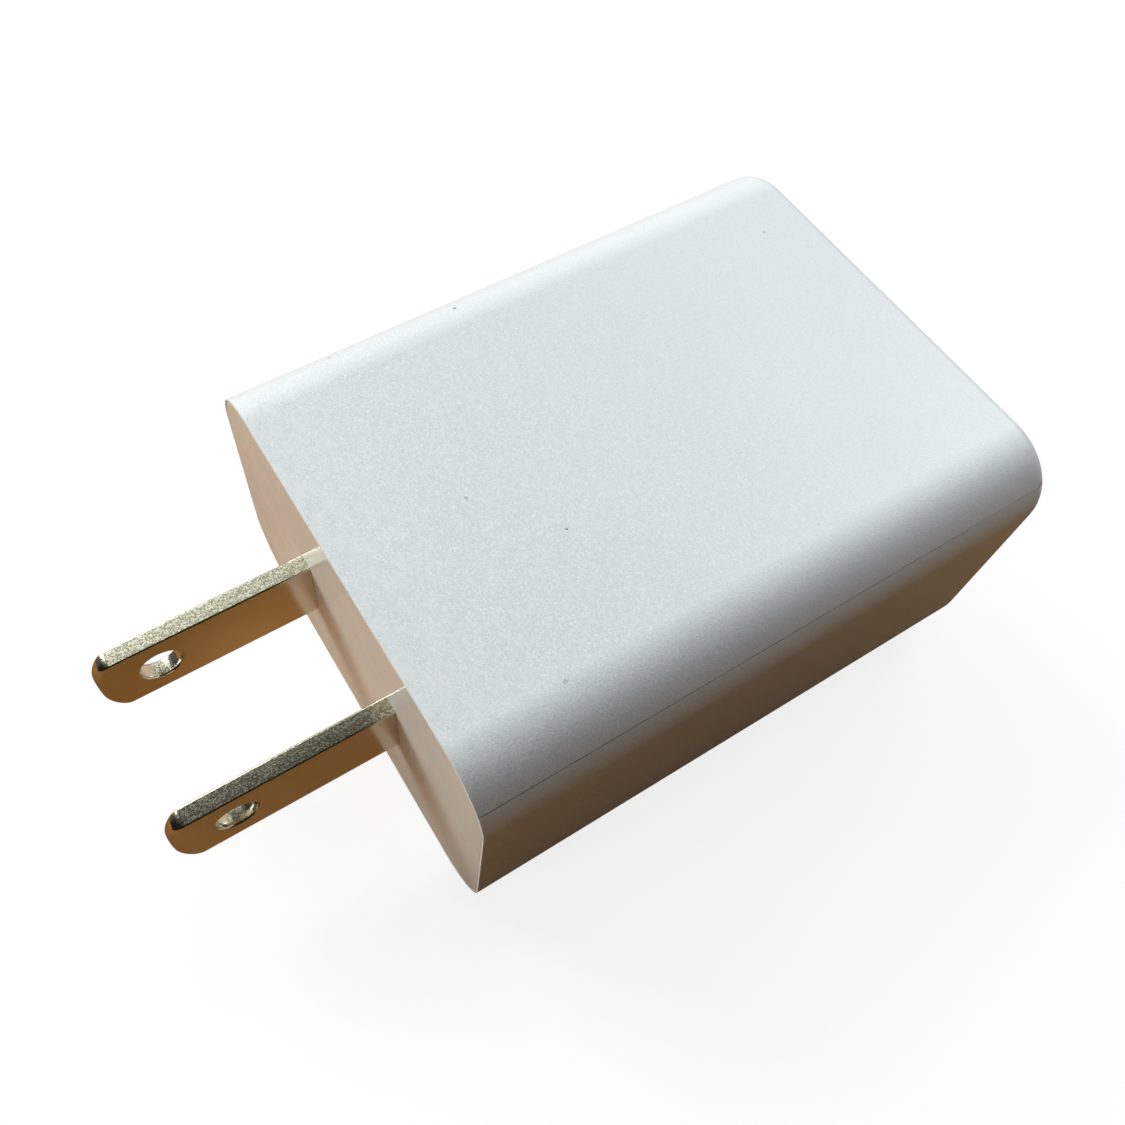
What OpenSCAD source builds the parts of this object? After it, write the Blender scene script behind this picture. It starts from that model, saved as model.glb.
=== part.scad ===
// USB wall charger with two fixed flat blades.
// The origin is the centre of the plug face. +Y points out of the plug face along the blades,
// so the body runs back to the port face at -Y. +X is across the body and +Z is its upper face.

/* [Body] */
// Width across the upper face
body_w = 36.5; // [36.5:0.5:42]
// Height from the lower face to the upper face
body_h = 23.8; // [23.8:0.1:30]
// Length from the plug face to the port face
body_l = 46.8; // [46.8:0.1:56]
// Radius of the four long edges
edge_r = 5; // [4:0.1:5.5]
// Rounding of the edge around the port face
port_edge_r = 1.2; // [0.6:0.1:1.6]
// Thickness of the shell walls
wall = 2; // [1.8:0.1:2]
// Depth of the lid, from the upper face down to the parting line
lid_depth = 2.4; // [2.4:0.1:3]
// Width of the parting line
seam_gap = 0.1; // [0.05:0.01:0.2]

/* [Plug end] */
// Thickness of the shell lip around the plug plate
lip = 0.4; // [0.3:0.05:0.6]
// Thickness of the plug plate's front flange
plate_t = 1.6; // [1.2:0.1:2]
// Thickness of the boss behind the flange
plate_boss = 2.4; // [2:0.1:2.6]
// Distance between the middles of the two blades
blade_pitch = 12.7; // [12.6:0.05:12.8]
// Width of a blade
blade_w = 6.35; // [6.1:0.05:6.6]
// Thickness of a blade
blade_t = 1.4; // [1.4:0.05:1.65]
// Length of a blade outside the plug face
blade_l = 16.6; // [15.9:0.1:18.2]
// Radius of the hole near a blade's tip
blade_hole_r = 1.6; // [1.5:0.05:1.8]
// Distance from the plug face to the blade holes
blade_hole_y = 12.1; // [11.4:0.1:12.3]

/* [USB port] */
// Inner width of the metal port shell
port_w = 12.5; // [12.4:0.05:12.6]
// Inner height of the metal port shell
port_h = 5.12; // [5.1:0.02:5.2]
// Length of the metal port shell
port_l = 14; // [13.6:0.1:14.2]
// How far the port shell sits behind the port face
port_recess = 0.3; // [0.2:0.1:0.6]
// Width of one spring contact
contact_w = 1; // [0.9:0.05:1.1]

/* [Electronics] */
// Thickness of the circuit board
board_t = 1.2; // [1:0.1:1.4]
// Diameter of the two mains smoothing capacitors
bulk_d = 8; // [7.8:0.1:8]
// Diameter of the two output capacitors
output_d = 6.3; // [6:0.1:6.3]
// Width of the transformer core
core_w = 14; // [13.6:0.1:14]

/* [Hidden] */
$fn = 48;
eps = 0.01;
joint_gap = 0.03;      // gap all round a piece that is pressed into place
clear = 0.1;           // gap between pieces that only sit side by side
cut = 1;               // how far a cutter runs past the surface it opens

// Parting line and inside of the shells
seam_z = body_h / 2 - lid_depth;
inner_w = body_w - 2 * wall;
inner_h = body_h - 2 * wall;
inner_r = edge_r - wall;
port_wall = 1.8;
cavity_l = body_l - port_wall;
lid_lip_t = 1.1;
lid_lip_x = (inner_w - inner_r) / 2 - 0.2;
lid_lip_h = 1.3;

// Circuit board
port_shell_t = 0.3;
board_top = -port_h / 2 - port_shell_t - clear;
board_w = inner_w - 0.8;
board_front = -7.2;
board_back = -cavity_l + 0.3;
rail_w = 1.4;

// Blades
blade_edge = 0.3;
blade_tip_r = 2.2;
blade_tail = 9.6;
blade_bevel_l = 1.3;
blade_bevel_d = 0.45;
shoulder_l = 1;
shoulder_w = 1.2;
retainer_l = 1.6;
shoulder_back = -plate_t - plate_boss - clear - shoulder_l;
tail_w = 5;
tail_step = shoulder_back - retainer_l - 2 * clear;

// Port
port_shell_r = 0.4;
port_back = -body_l + port_recess + port_l;
port_front = -body_l + port_recess;
tongue_w = 11.1;
tongue_t = 1.84;
tongue_top = port_h / 2 - 0.75;
tongue_recess = 0.8;
insulator_l = 3.9;
contact_x = [-3.5, -1, 1, 3.5];
contact_t = 0.25;
groove_w = 1.5;
groove_d = 1.15;
leaf_root = port_back - insulator_l - 0.15;
leaf_tip = port_front + tongue_recess + 0.9;

// Transformer, in the middle of the board's left half
core_l = 13;
core_h = 6;
core_back = 2.6;
core_leg = 2.4;
core_mid = 4;
tr_x = -8.3;
tr_y = -24.4;
tr_z = board_top + 6.1;
flange_t = 0.6;
coil_h = 11;
coil_w = core_w - 2 * core_leg - 0.5;
window_l = core_l - 2 * core_back;
tape_t = 0.12;
pin_l = 0.6;
pin_rail_w = 11;

// Capacitors and the parts beside them
bulk_l = 13;
bulk_x = [4, 12.1];
bulk_y = -30.9;
output_l = 10.5;
output_x = 11.4;
output_y = -40.3;

// What a square corner has outside its quarter circle of radius r
module corner_tip(r) {
    difference() {
        square(r + cut);
        circle(r);
    }
}

// Rectangle centred on the origin with four round corners
module rounded_rect(w, h, r) {
    difference() {
        square([w, h], center = true);
        for (mx = [0, 1], my = [0, 1])
            mirror([mx, 0]) mirror([0, my])
                translate([w / 2 - r, h / 2 - r]) corner_tip(r);
    }
}

// Rectangle from the X axis back to y = -l, with its two far corners rounded
module end_rounded(w, l, r) {
    difference() {
        translate([-w / 2, -l]) square([w, l]);
        for (mx = [0, 1])
            mirror([mx, 0]) translate([w / 2 - r, r - l]) mirror([0, 1]) corner_tip(r);
    }
}

// Runs a shape drawn in X and Z back from y = front to y = back
module run_back(front, back) {
    translate([0, front, 0]) rotate([90, 0, 0]) linear_extrude(front - back) children();
}

// Outer form of the body: long edges of radius edge_r and a softened port end
module body_form() {
    rotate([0, 90, 0]) linear_extrude(body_w - 2 * edge_r, center = true)
        end_rounded(body_h, body_l, port_edge_r);
    linear_extrude(body_h - 2 * edge_r, center = true) end_rounded(body_w, body_l, port_edge_r);
    for (mx = [0, 1], mz = [0, 1])
        mirror([mx, 0, 0]) mirror([0, 0, mz])
            translate([body_w / 2 - edge_r, 0, body_h / 2 - edge_r])
                rotate([90, 0, 0]) rotate_extrude(angle = 90) difference() {
                    square([edge_r, body_l]);
                    translate([edge_r - port_edge_r, body_l - port_edge_r]) corner_tip(port_edge_r);
                }
}

// Space inside the shells, open at the plug end
module body_cavity() {
    run_back(-plate_t, -cavity_l) rounded_rect(inner_w, inner_h, inner_r);
    run_back(cut, -plate_t) rounded_rect(body_w - 2 * lip, body_h - 2 * lip, edge_r - lip);
}

// Opening for the port shell in the port face
module port_opening() {
    run_back(-body_l + port_wall + cut, -body_l - cut)
        rounded_rect(port_w + 2 * port_shell_t + 0.4, port_h + 2 * port_shell_t + 0.4, 0.6);
}

module housing_base() {
    color("whitesmoke") {
        difference() {
            body_form();
            body_cavity();
            port_opening();
            translate([-body_w, -body_l - cut, seam_z])
                cube([2 * body_w, body_l + 2 * cut, body_h]);
        }
        // Rails that carry the board, just under it
        for (mx = [0, 1])
            mirror([mx, 0, 0])
                translate([inner_w / 2 - rail_w, board_back, -inner_h / 2 + inner_r])
                    cube([rail_w, board_front - board_back,
                          board_top - board_t + inner_h / 2 - inner_r]);
    }
}

module housing_lid() {
    color("whitesmoke") {
        difference() {
            body_form();
            body_cavity();
            translate([-body_w, -body_l - cut, seam_z + seam_gap - 2 * body_h])
                cube([2 * body_w, body_l + 2 * cut, 2 * body_h]);
        }
        // Locating lips that reach down inside the base's side walls
        for (mx = [0, 1])
            mirror([mx, 0, 0])
                translate([lid_lip_x - lid_lip_t, -cavity_l + 3, seam_z - lid_lip_h])
                    cube([lid_lip_t, cavity_l - 10, inner_h / 2 - seam_z + lid_lip_h + eps]);
    }
}

// Flat blade drawn upright in the Y and Z plane, with a round-cornered, bevelled tip
module blade_side(front, back) {
    translate([-back, 0]) difference() {
        translate([0, -blade_w / 2]) square([front + back, blade_w]);
        for (my = [0, 1])
            mirror([0, my]) translate([front + back - blade_tip_r, blade_w / 2 - blade_tip_r])
                corner_tip(blade_tip_r);
    }
}

// Cross-section of a blade, with its four edges broken
module blade_section() {
    x = blade_t / 2;
    z = blade_w / 2;
    polygon([
        for (turn = [0, 1]) let (s = 1 - 2 * turn)
            each s * [[x, z - blade_edge], [x - blade_edge, z], [blade_edge - x, z], [-x, z - blade_edge]]
    ]);
}

// Blade with its middle on the Z axis, from its inner tail to its tip
module blade() {
    difference() {
        intersection() {
            rotate([90, 0, 90]) linear_extrude(blade_t, center = true)
                blade_side(blade_l, blade_tail);
            run_back(blade_l + cut, -blade_tail - cut) blade_section();
        }
        rotate([0, 90, 0]) translate([0, blade_hole_y, -blade_t])
            cylinder(r = blade_hole_r, h = 2 * blade_t);
        for (mx = [0, 1])
            mirror([mx, 0, 0]) translate([blade_t / 2, blade_l - blade_bevel_l, -blade_w])
                rotate([0, 0, atan2(blade_bevel_d, blade_bevel_l)])
                    cube([blade_t, 2 * blade_bevel_l, 2 * blade_w]);
        // Narrower tail, which clears the board behind the retainer
        for (mz = [0, 1])
            mirror([0, 0, mz]) translate([-blade_t, -blade_tail - cut, tail_w / 2])
                cube([2 * blade_t, blade_tail + cut + tail_step, blade_w]);
    }
    // Shoulders behind the plug plate that stop the blade being pulled out
    for (mz = [0, 1])
        mirror([0, 0, mz])
            translate([-blade_t / 2, shoulder_back, blade_w / 2 - eps])
                cube([blade_t, shoulder_l, shoulder_w / 2]);
}

module blade_left() {
    color("silver") translate([blade_pitch / 2, 0, 0]) blade();
}

module blade_right() {
    color("silver") translate([-blade_pitch / 2, 0, 0]) blade();
}

// Slots for both blades, with the given gap all round
module blade_slots(front, back, gap) {
    run_back(front, back)
        for (mx = [-1, 1])
            translate([mx * blade_pitch / 2, 0])
                square([blade_t + 2 * gap, blade_w + 2 * gap], center = true);
}

module plug_plate() {
    color("white") difference() {
        union() {
            run_back(0, -plate_t) rounded_rect(body_w - 2 * lip - 2 * joint_gap,
                body_h - 2 * lip - 2 * joint_gap, edge_r - lip - joint_gap);
            run_back(-plate_t + eps, -plate_t - plate_boss) rounded_rect(inner_w - 2 * clear,
                inner_h - 2 * clear, inner_r - clear);
        }
        blade_slots(cut, -plate_t - plate_boss - cut, joint_gap);
    }
}

// Block that locks the blades' shoulders against the plug plate
module blade_retainer() {
    retainer_w = blade_pitch + 7;
    retainer_h = blade_w + 3.6;
    front = shoulder_back - clear;
    color("gainsboro") difference() {
        run_back(front, front - retainer_l) square([retainer_w, retainer_h], center = true);
        blade_slots(front + cut, front - retainer_l - cut, joint_gap);
    }
}

// Sprung strip from the board up to the inner face of a blade's tail
module spring_contact() {
    strip_t = 0.3;
    strip_w = 2.2;
    inner_face = blade_pitch / 2 - blade_t / 2 - joint_gap;
    strip_h = blade_w / 2 - 1 - board_top;
    foot = 2;
    translate([inner_face - strip_t, -blade_tail, board_top]) cube([strip_t, strip_w, strip_h]);
    translate([inner_face - foot, -blade_tail, board_top]) cube([foot, strip_w, strip_t]);
}

module spring_contact_left() {
    color("goldenrod") spring_contact();
}

module spring_contact_right() {
    color("goldenrod") mirror([1, 0, 0]) spring_contact();
}

module main_board() {
    color("darkgreen")
        translate([-board_w / 2, board_back, board_top - board_t])
            cube([board_w, board_front - board_back, board_t]);
}

module insulation_sheet() {
    sheet_t = 0.25;
    color("lightyellow")
        translate([-inner_w / 2 + rail_w + 1, board_back + 1, -inner_h / 2 + clear])
            cube([inner_w - 2 * rail_w - 2, board_front - board_back - 2, sheet_t]);
}

// One E-shaped half of the core, its open side at y = 0 and its back at y = -core_l / 2
module core_half() {
    half = core_l / 2;
    translate([-core_w / 2, -half, -core_h / 2]) cube([core_w, core_back, core_h]);
    for (x = [-core_w / 2, -core_mid / 2, core_w / 2 - core_leg])
        translate([x, -half + core_back - eps, -core_h / 2])
            cube([x == -core_mid / 2 ? core_mid : core_leg, half - core_back + eps, core_h]);
}

module transformer_core_rear() {
    color("dimgray") translate([tr_x, tr_y, tr_z]) core_half();
}

module transformer_core_front() {
    color("dimgray") translate([tr_x, tr_y, tr_z]) mirror([0, 1, 0]) core_half();
}

// Rectangular sleeve along Y between two outlines, centred on the transformer
module transformer_sleeve(outer, inner, length) {
    translate([tr_x, tr_y + length / 2, tr_z]) difference() {
        run_back(0, -length) square(outer, center = true);
        run_back(cut, -length - cut) square(inner, center = true);
    }
}

module transformer_bobbin() {
    tube = [core_mid + 1.2, core_h + 1.2];
    hole = [core_mid + 0.2, core_h + 0.2];
    length = window_l - 0.2;
    color("black") {
        transformer_sleeve(tube, hole, length);
        for (end = [0, 1])
            translate([0, tr_y, 0]) mirror([0, end, 0]) translate([0, -tr_y, 0]) {
                translate([0, length / 2 - flange_t / 2, 0])
                    transformer_sleeve([coil_w + 0.3, coil_h + 0.6], hole, flange_t);
                // Pin rail under the back of the core
                translate([tr_x - pin_rail_w / 2, tr_y + length / 2 - eps, board_top + pin_l])
                    cube([pin_rail_w, core_back, tr_z - core_h / 2 - clear - board_top - pin_l]);
            }
    }
}

module transformer_winding() {
    color("peru")
        transformer_sleeve([coil_w - 0.4, coil_h - 0.2], [core_mid + 1.3, core_h + 1.3],
            window_l - 0.2 - 2 * flange_t - 0.2);
}

module transformer_tape() {
    color("gold")
        transformer_sleeve([coil_w - 0.3 + 2 * tape_t, coil_h - 0.1 + 2 * tape_t],
            [coil_w - 0.3, coil_h - 0.1], window_l - 0.2 - 2 * flange_t - 0.4);
}

module transformer_pins() {
    pin_d = 0.7;
    pin_y = window_l / 2 + core_back / 2;
    color("silver")
        for (x = [-4.5, -1.5, 1.5, 4.5], end = [-1, 1])
            translate([tr_x + x, tr_y + end * pin_y, board_top]) cylinder(d = pin_d, h = pin_l);
}

// Can capacitor with a rolled neck near its base, standing on the XY plane
module can_capacitor(d, l) {
    neck_z = l * 0.13;
    neck_d = 0.35;
    rotate_extrude() polygon([
        [0, 0], [d / 2 - 0.4, 0], [d / 2, 0.4], [d / 2, neck_z - neck_d],
        [d / 2 - neck_d, neck_z], [d / 2, neck_z + neck_d], [d / 2, l - 0.5],
        [d / 2 - 0.5, l], [0, l]
    ]);
}

// Mains capacitor lying on the board with its leads towards the plug end
module bulk_capacitor(x) {
    translate([x, bulk_y + bulk_l, board_top + bulk_d / 2 + clear])
        rotate([90, 0, 0]) can_capacitor(bulk_d, bulk_l);
    for (side = [-1.75, 1.75])
        translate([x + side, bulk_y + bulk_l, 0]) {
            translate([-0.3, -eps, board_top + bulk_d / 2 - 0.2]) cube([0.6, 1.2, 0.6]);
            translate([-0.3, 0.6, board_top]) cube([0.6, 0.6, bulk_d / 2]);
        }
}

module bulk_capacitor_inner() {
    color("seagreen") bulk_capacitor(bulk_x[0]);
}

module bulk_capacitor_outer() {
    color("seagreen") bulk_capacitor(bulk_x[1]);
}

module output_capacitor_left() {
    color("midnightblue") translate([output_x, output_y, board_top])
        can_capacitor(output_d, output_l);
}

module output_capacitor_right() {
    color("midnightblue") translate([-output_x, output_y, board_top])
        can_capacitor(output_d, output_l);
}

// Lead that drops to the board from height z, drawn at the origin
module lead(z) {
    translate([0, 0, board_top]) cylinder(d = 0.6, h = z - board_top);
}

module fusible_resistor() {
    body_d = 3.2;
    resistor_l = 8.4;
    axis_z = board_top + body_d / 2 + 0.5;
    color("darkolivegreen") translate([0, -12.2, 0]) {
        translate([-resistor_l / 2, 0, axis_z]) rotate([0, 90, 0])
            cylinder(d = body_d, h = resistor_l);
        for (mx = [0, 1])
            mirror([mx, 0, 0]) {
                translate([resistor_l / 2 - eps, 0, axis_z]) rotate([0, 90, 0])
                    cylinder(d = 0.6, h = 1.2);
                translate([resistor_l / 2 + 0.9, 0, 0]) lead(axis_z);
            }
    }
}

module line_choke() {
    drum_d = 6.4;
    drum_h = 7;
    color("saddlebrown") translate([-11.6, -12.6, board_top + clear]) rotate_extrude() polygon([
        [0, 0], [drum_d / 2, 0], [drum_d / 2, 1], [drum_d / 2 - 0.5, 1.2],
        [drum_d / 2 - 0.5, drum_h - 1.2], [drum_d / 2, drum_h - 1], [drum_d / 2, drum_h],
        [0, drum_h]
    ]);
}

// Disc part standing on two leads, its flat faces towards the plug and port ends
module disc_part(d, t, x, y) {
    axis_z = board_top + d / 2 + 0.8;
    translate([x, y, 0]) {
        translate([0, t / 2, axis_z]) rotate([90, 0, 0]) cylinder(d = d, h = t);
        for (side = [-1, 1]) translate([side * d * 0.3, 0, 0]) lead(axis_z);
    }
}

module surge_varistor() {
    color("royalblue") disc_part(7, 3.6, 11.4, -12.6);
}

module safety_capacitor() {
    color("deepskyblue") disc_part(7, 2, -11.4, -33.5);
}

// Moulded chip with legs on two sides, its top at z = 0 and its legs reaching down to z = -drop
module chip(w, l, h, drop, legs) {
    pitch = l / (legs + 0.4);
    translate([-w / 2, -l / 2, -h]) cube([w, l, h]);
    for (mx = [0, 1], i = [0 : legs - 1])
        mirror([mx, 0, 0]) translate([w / 2 - eps, (i - (legs - 1) / 2) * pitch - 0.2, -drop]) {
            translate([0, 0, drop - h / 2 - 0.1]) cube([0.8, 0.4, 0.2]);
            translate([0.6, 0, 0]) cube([0.2, 0.4, drop - h / 2]);
        }
}

// Places a part drawn above z = 0 upside down against the board's lower face
module under_board(x, y) {
    translate([x, y, board_top - board_t]) mirror([0, 0, 1]) children();
}

module bridge_rectifier() {
    color("black") under_board(6, -16) translate([0, 0, 2.6]) chip(4.2, 4.7, 2.4, 2.6, 2);
}

module controller_chip() {
    color("black") under_board(-6, -16) translate([0, 0, 1.7]) chip(3.9, 5, 1.5, 1.7, 4);
}

module output_rectifier() {
    color("black") under_board(-8, -36) translate([0, 0, 2.3]) chip(4.4, 3.6, 2.1, 2.3, 1);
}

module feedback_optocoupler() {
    color("black") translate([11, -34.1, board_top + 3.5]) chip(6.4, 4.6, 3.1, 3.5, 2);
}

module surface_parts() {
    chip_size = [2, 1.2, 0.7];
    color("dimgray")
        for (place = [[-11, -22], [-8, -22], [-5, -22], [2, -22], [5, -22], [9, -24], [-3, -30],
                      [0, -36], [4, -36], [8, -38], [-2, -40], [3, -41]])
            under_board(place[0], place[1])
                translate([-chip_size[0] / 2, -chip_size[1] / 2, 0]) cube(chip_size);
}

module port_shell() {
    outer_w = port_w + 2 * port_shell_t;
    outer_h = port_h + 2 * port_shell_t;
    color("silver") difference() {
        run_back(port_back, port_front)
            rounded_rect(outer_w, outer_h, port_shell_r + port_shell_t);
        run_back(port_back - port_shell_t, port_front - cut)
            rounded_rect(port_w, port_h, port_shell_r);
    }
}

// Tongue and rear block, with an open groove under the tongue for each contact
module port_insulator() {
    block_back = port_back - port_shell_t - joint_gap;
    block_front = port_back - insulator_l;
    color("black") difference() {
        union() {
            run_back(block_back, block_front) rounded_rect(port_w - 2 * joint_gap,
                port_h - 2 * joint_gap, port_shell_r);
            translate([-tongue_w / 2, port_front + tongue_recess, tongue_top - tongue_t])
                cube([tongue_w, block_front - port_front - tongue_recess + eps, tongue_t]);
        }
        for (x = contact_x)
            translate([x - groove_w / 2, leaf_tip - 0.4, tongue_top - tongue_t - cut])
                cube([groove_w, block_front - leaf_tip + 0.4, cut + groove_d]);
    }
}

// Solder tails of the four contacts, behind the port
module port_contact_tails() {
    tail_w = 0.7;
    color("goldenrod")
        for (x = contact_x)
            translate([x - tail_w / 2, port_back + clear, board_top])
                cube([tail_w, 0.3, port_h / 2 - 0.4 - board_top]);
}

// Spring leaf: it leaves the groove's root, dips below the tongue and turns up at its tip
module port_contact(x) {
    root_z = tongue_top - tongue_t + 0.35;
    dip_z = tongue_top - tongue_t - 0.4;
    dip_y = leaf_tip + 1.7;
    upper = [[leaf_root, root_z], [dip_y + 0.4, dip_z], [dip_y - 0.4, dip_z],
             [leaf_tip, root_z - 0.2]];
    lower = [for (i = [3 : -1 : 0]) [upper[i][0], upper[i][1] - contact_t]];
    color("gold") translate([x - contact_w / 2, 0, 0])
        rotate([90, 0, 90]) linear_extrude(contact_w) polygon(concat(upper, lower));
}

module port_contact_1() {
    port_contact(contact_x[0]);
}

module port_contact_2() {
    port_contact(contact_x[1]);
}

module port_contact_3() {
    port_contact(contact_x[2]);
}

module port_contact_4() {
    port_contact(contact_x[3]);
}

housing_base();
housing_lid();
plug_plate();
blade_left();
blade_right();
blade_retainer();
spring_contact_left();
spring_contact_right();
main_board();
insulation_sheet();
transformer_core_front();
transformer_core_rear();
transformer_bobbin();
transformer_winding();
transformer_tape();
transformer_pins();
bulk_capacitor_inner();
bulk_capacitor_outer();
output_capacitor_left();
output_capacitor_right();
fusible_resistor();
line_choke();
surge_varistor();
safety_capacitor();
bridge_rectifier();
controller_chip();
output_rectifier();
feedback_optocoupler();
surface_parts();
port_shell();
port_insulator();
port_contact_tails();
port_contact_1();
port_contact_2();
port_contact_3();
port_contact_4();
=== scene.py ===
"""Looks of a USB wall charger: moulded shell, polished plug end, plated blades and USB port.

Lengths are in metres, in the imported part's own frame: the origin is the centre of the plug face,
+Y points out along the blades, +X is across the body and +Z is up through the lid.
"""

import logging
import math
from dataclasses import dataclass, field
from enum import Enum
from typing import Callable, ClassVar, Iterable, Sequence

import bmesh
import bpy
from mathutils import Matrix, Vector

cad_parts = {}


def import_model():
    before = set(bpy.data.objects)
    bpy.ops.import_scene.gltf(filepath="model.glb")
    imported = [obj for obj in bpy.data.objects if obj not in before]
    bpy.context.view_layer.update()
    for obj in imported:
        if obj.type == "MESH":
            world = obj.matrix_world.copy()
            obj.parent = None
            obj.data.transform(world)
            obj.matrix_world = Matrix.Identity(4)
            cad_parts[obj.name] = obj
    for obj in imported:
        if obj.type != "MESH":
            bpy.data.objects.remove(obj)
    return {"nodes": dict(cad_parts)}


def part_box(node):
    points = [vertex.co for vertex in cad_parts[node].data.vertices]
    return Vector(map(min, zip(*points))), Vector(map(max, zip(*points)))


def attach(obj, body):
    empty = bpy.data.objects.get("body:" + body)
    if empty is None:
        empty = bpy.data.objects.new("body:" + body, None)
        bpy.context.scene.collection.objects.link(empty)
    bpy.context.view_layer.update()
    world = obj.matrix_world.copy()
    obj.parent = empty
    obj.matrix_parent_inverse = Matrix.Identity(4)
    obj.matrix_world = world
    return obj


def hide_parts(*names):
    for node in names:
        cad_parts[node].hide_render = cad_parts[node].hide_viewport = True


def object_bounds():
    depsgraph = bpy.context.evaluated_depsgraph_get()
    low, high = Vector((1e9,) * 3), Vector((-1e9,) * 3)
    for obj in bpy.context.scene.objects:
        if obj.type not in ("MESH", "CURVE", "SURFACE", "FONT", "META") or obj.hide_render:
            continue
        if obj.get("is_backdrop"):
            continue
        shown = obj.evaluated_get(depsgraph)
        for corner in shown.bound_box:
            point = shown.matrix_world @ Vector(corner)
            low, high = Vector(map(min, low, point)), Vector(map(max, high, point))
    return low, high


LOG = logging.getLogger("charger")
MM = 0.001
Colour = tuple[float, float, float]
Loop = list[Vector]


class Body(Enum):
    """The rigid bodies that the pieces ride on."""

    CHARGER = "charger"
    CONTACT_1 = "contact_1"
    CONTACT_2 = "contact_2"
    CONTACT_3 = "contact_3"
    CONTACT_4 = "contact_4"


# ---------------------------------------------------------------- mesh tools


def rounded_loop(width: float, height: float, radius: float, y: float, steps: int = 10) -> Loop:
    """Draws a rectangle with round corners in a plane of constant Y.

    Args:
        width: Size along X.
        height: Size along Z.
        radius: Radius of the four corners.
        y: Place along Y.
        steps: Segments in each corner.

    Returns:
        The points in order, the same count for any size.
    """
    points = []
    for quarter, (sx, sz) in enumerate(((1, 1), (-1, 1), (-1, -1), (1, -1))):
        centre = Vector((sx * (width / 2 - radius), y, sz * (height / 2 - radius)))
        for i in range(steps + 1):
            angle = math.radians(90 * (quarter + i / steps))
            points.append(centre + radius * Vector((math.cos(angle), 0, math.sin(angle))))
    return points


def circle_loop(radius: float, height: float, steps: int = 48) -> Loop:
    """Draws a circle round the Z axis at a height."""
    turns = (2 * math.pi * i / steps for i in range(steps))
    return [Vector((radius * math.cos(a), radius * math.sin(a), height)) for a in turns]


def loft(loops: Sequence[Loop], ring: bool = False, caps: bool = True) -> bmesh.types.BMesh:
    """Skins a row of loops that all have the same count of points.

    Args:
        loops: The loops, in order.
        ring: Joins the last loop to the first.
        caps: Closes the first and last loops with a face, when ring is False.

    Returns:
        A new mesh with its faces turned outwards.
    """
    mesh = bmesh.new()
    rows = [[mesh.verts.new(p) for p in loop] for loop in loops]
    pairs = list(zip(rows, rows[1:] + rows[:1] if ring else rows[1:]))
    for row, following in pairs:
        for i in range(len(row)):
            j = (i + 1) % len(row)
            mesh.faces.new((row[i], row[j], following[j], following[i]))
    if caps and not ring:
        mesh.faces.new(rows[0])
        mesh.faces.new(rows[-1])
    bmesh.ops.recalc_face_normals(mesh, faces=mesh.faces)
    return mesh


def block(low: Vector, high: Vector) -> bmesh.types.BMesh:
    """Builds a closed box between two opposite corners.

    Args:
        low: Its lowest corner.
        high: Its highest corner.

    Returns:
        A new mesh.
    """
    mesh = bmesh.new()
    bmesh.ops.create_cube(mesh, size=1, matrix=Matrix.LocRotScale((low + high) / 2, None, high - low))
    return mesh


def turned(profile: Sequence[tuple[float, float]], steps: int = 48) -> bmesh.types.BMesh:
    """Turns a profile of (radius, height) points round the Z axis into a closed solid."""
    return loft([circle_loop(max(radius, 0.002 * MM), height, steps) for radius, height in profile])


def soften(mesh: bmesh.types.BMesh, width: float, segments: int = 2, angle: float = 35.0) -> None:
    """Rounds a mesh's sharp edges and marks them as the rim.

    Args:
        mesh: The mesh to change.
        width: How far the rounding reaches from each edge.
        segments: Segments across the rounding.
        angle: Edges that bend by more than this, in degrees, are rounded.
    """
    limit = math.radians(angle)
    sharp = [e for e in mesh.edges if e.is_manifold and e.calc_face_angle(0) > limit]
    made = bmesh.ops.bevel(mesh, geom=sharp, offset=width, offset_type="OFFSET", segments=segments,
                           profile=0.5, affect="EDGES", clamp_overlap=True)
    rim = mesh.verts.layers.float.get("rim") or mesh.verts.layers.float.new("rim")
    for vertex in {v for f in made["faces"] for v in f.verts}:
        vertex[rim] = 1.0


def merged(meshes: Iterable[bmesh.types.BMesh]) -> bmesh.types.BMesh:
    """Puts several meshes into one and frees them.

    Args:
        meshes: What to join, which is freed.

    Returns:
        A new mesh.
    """
    whole = bmesh.new()
    holder = bpy.data.meshes.new("holder")
    for mesh in meshes:
        mesh.to_mesh(holder)
        mesh.free()
        whole.from_mesh(holder)
    bpy.data.meshes.remove(holder)
    return whole


def place(mesh: bmesh.types.BMesh, matrix: Matrix) -> bmesh.types.BMesh:
    """Moves a mesh by a matrix and gives it back."""
    bmesh.ops.transform(mesh, matrix=matrix, verts=mesh.verts)
    return mesh


def shift(x: float = 0, y: float = 0, z: float = 0) -> Matrix:
    """Gives the matrix of a move."""
    return Matrix.Translation((x, y, z))


def eased(path: Sequence[Vector], rounds: int = 2) -> list[Vector]:
    """Rounds a path's corners by cutting them, and keeps its two ends.

    Args:
        path: The path's points.
        rounds: How many times the corners are cut.

    Returns:
        The new points.
    """
    for _ in range(rounds):
        finer = [path[0]]
        for a, b in zip(path, path[1:]):
            finer += [a.lerp(b, 0.25), a.lerp(b, 0.75)]
        path = [*finer, path[-1]]
    return list(path)


def headings(path: Sequence[Vector]) -> list[Vector]:
    """Gives the direction of a path at each of its points."""
    last = len(path) - 1
    return [(path[min(i + 1, last)] - path[max(i - 1, 0)]).normalized() for i in range(len(path))]


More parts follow.
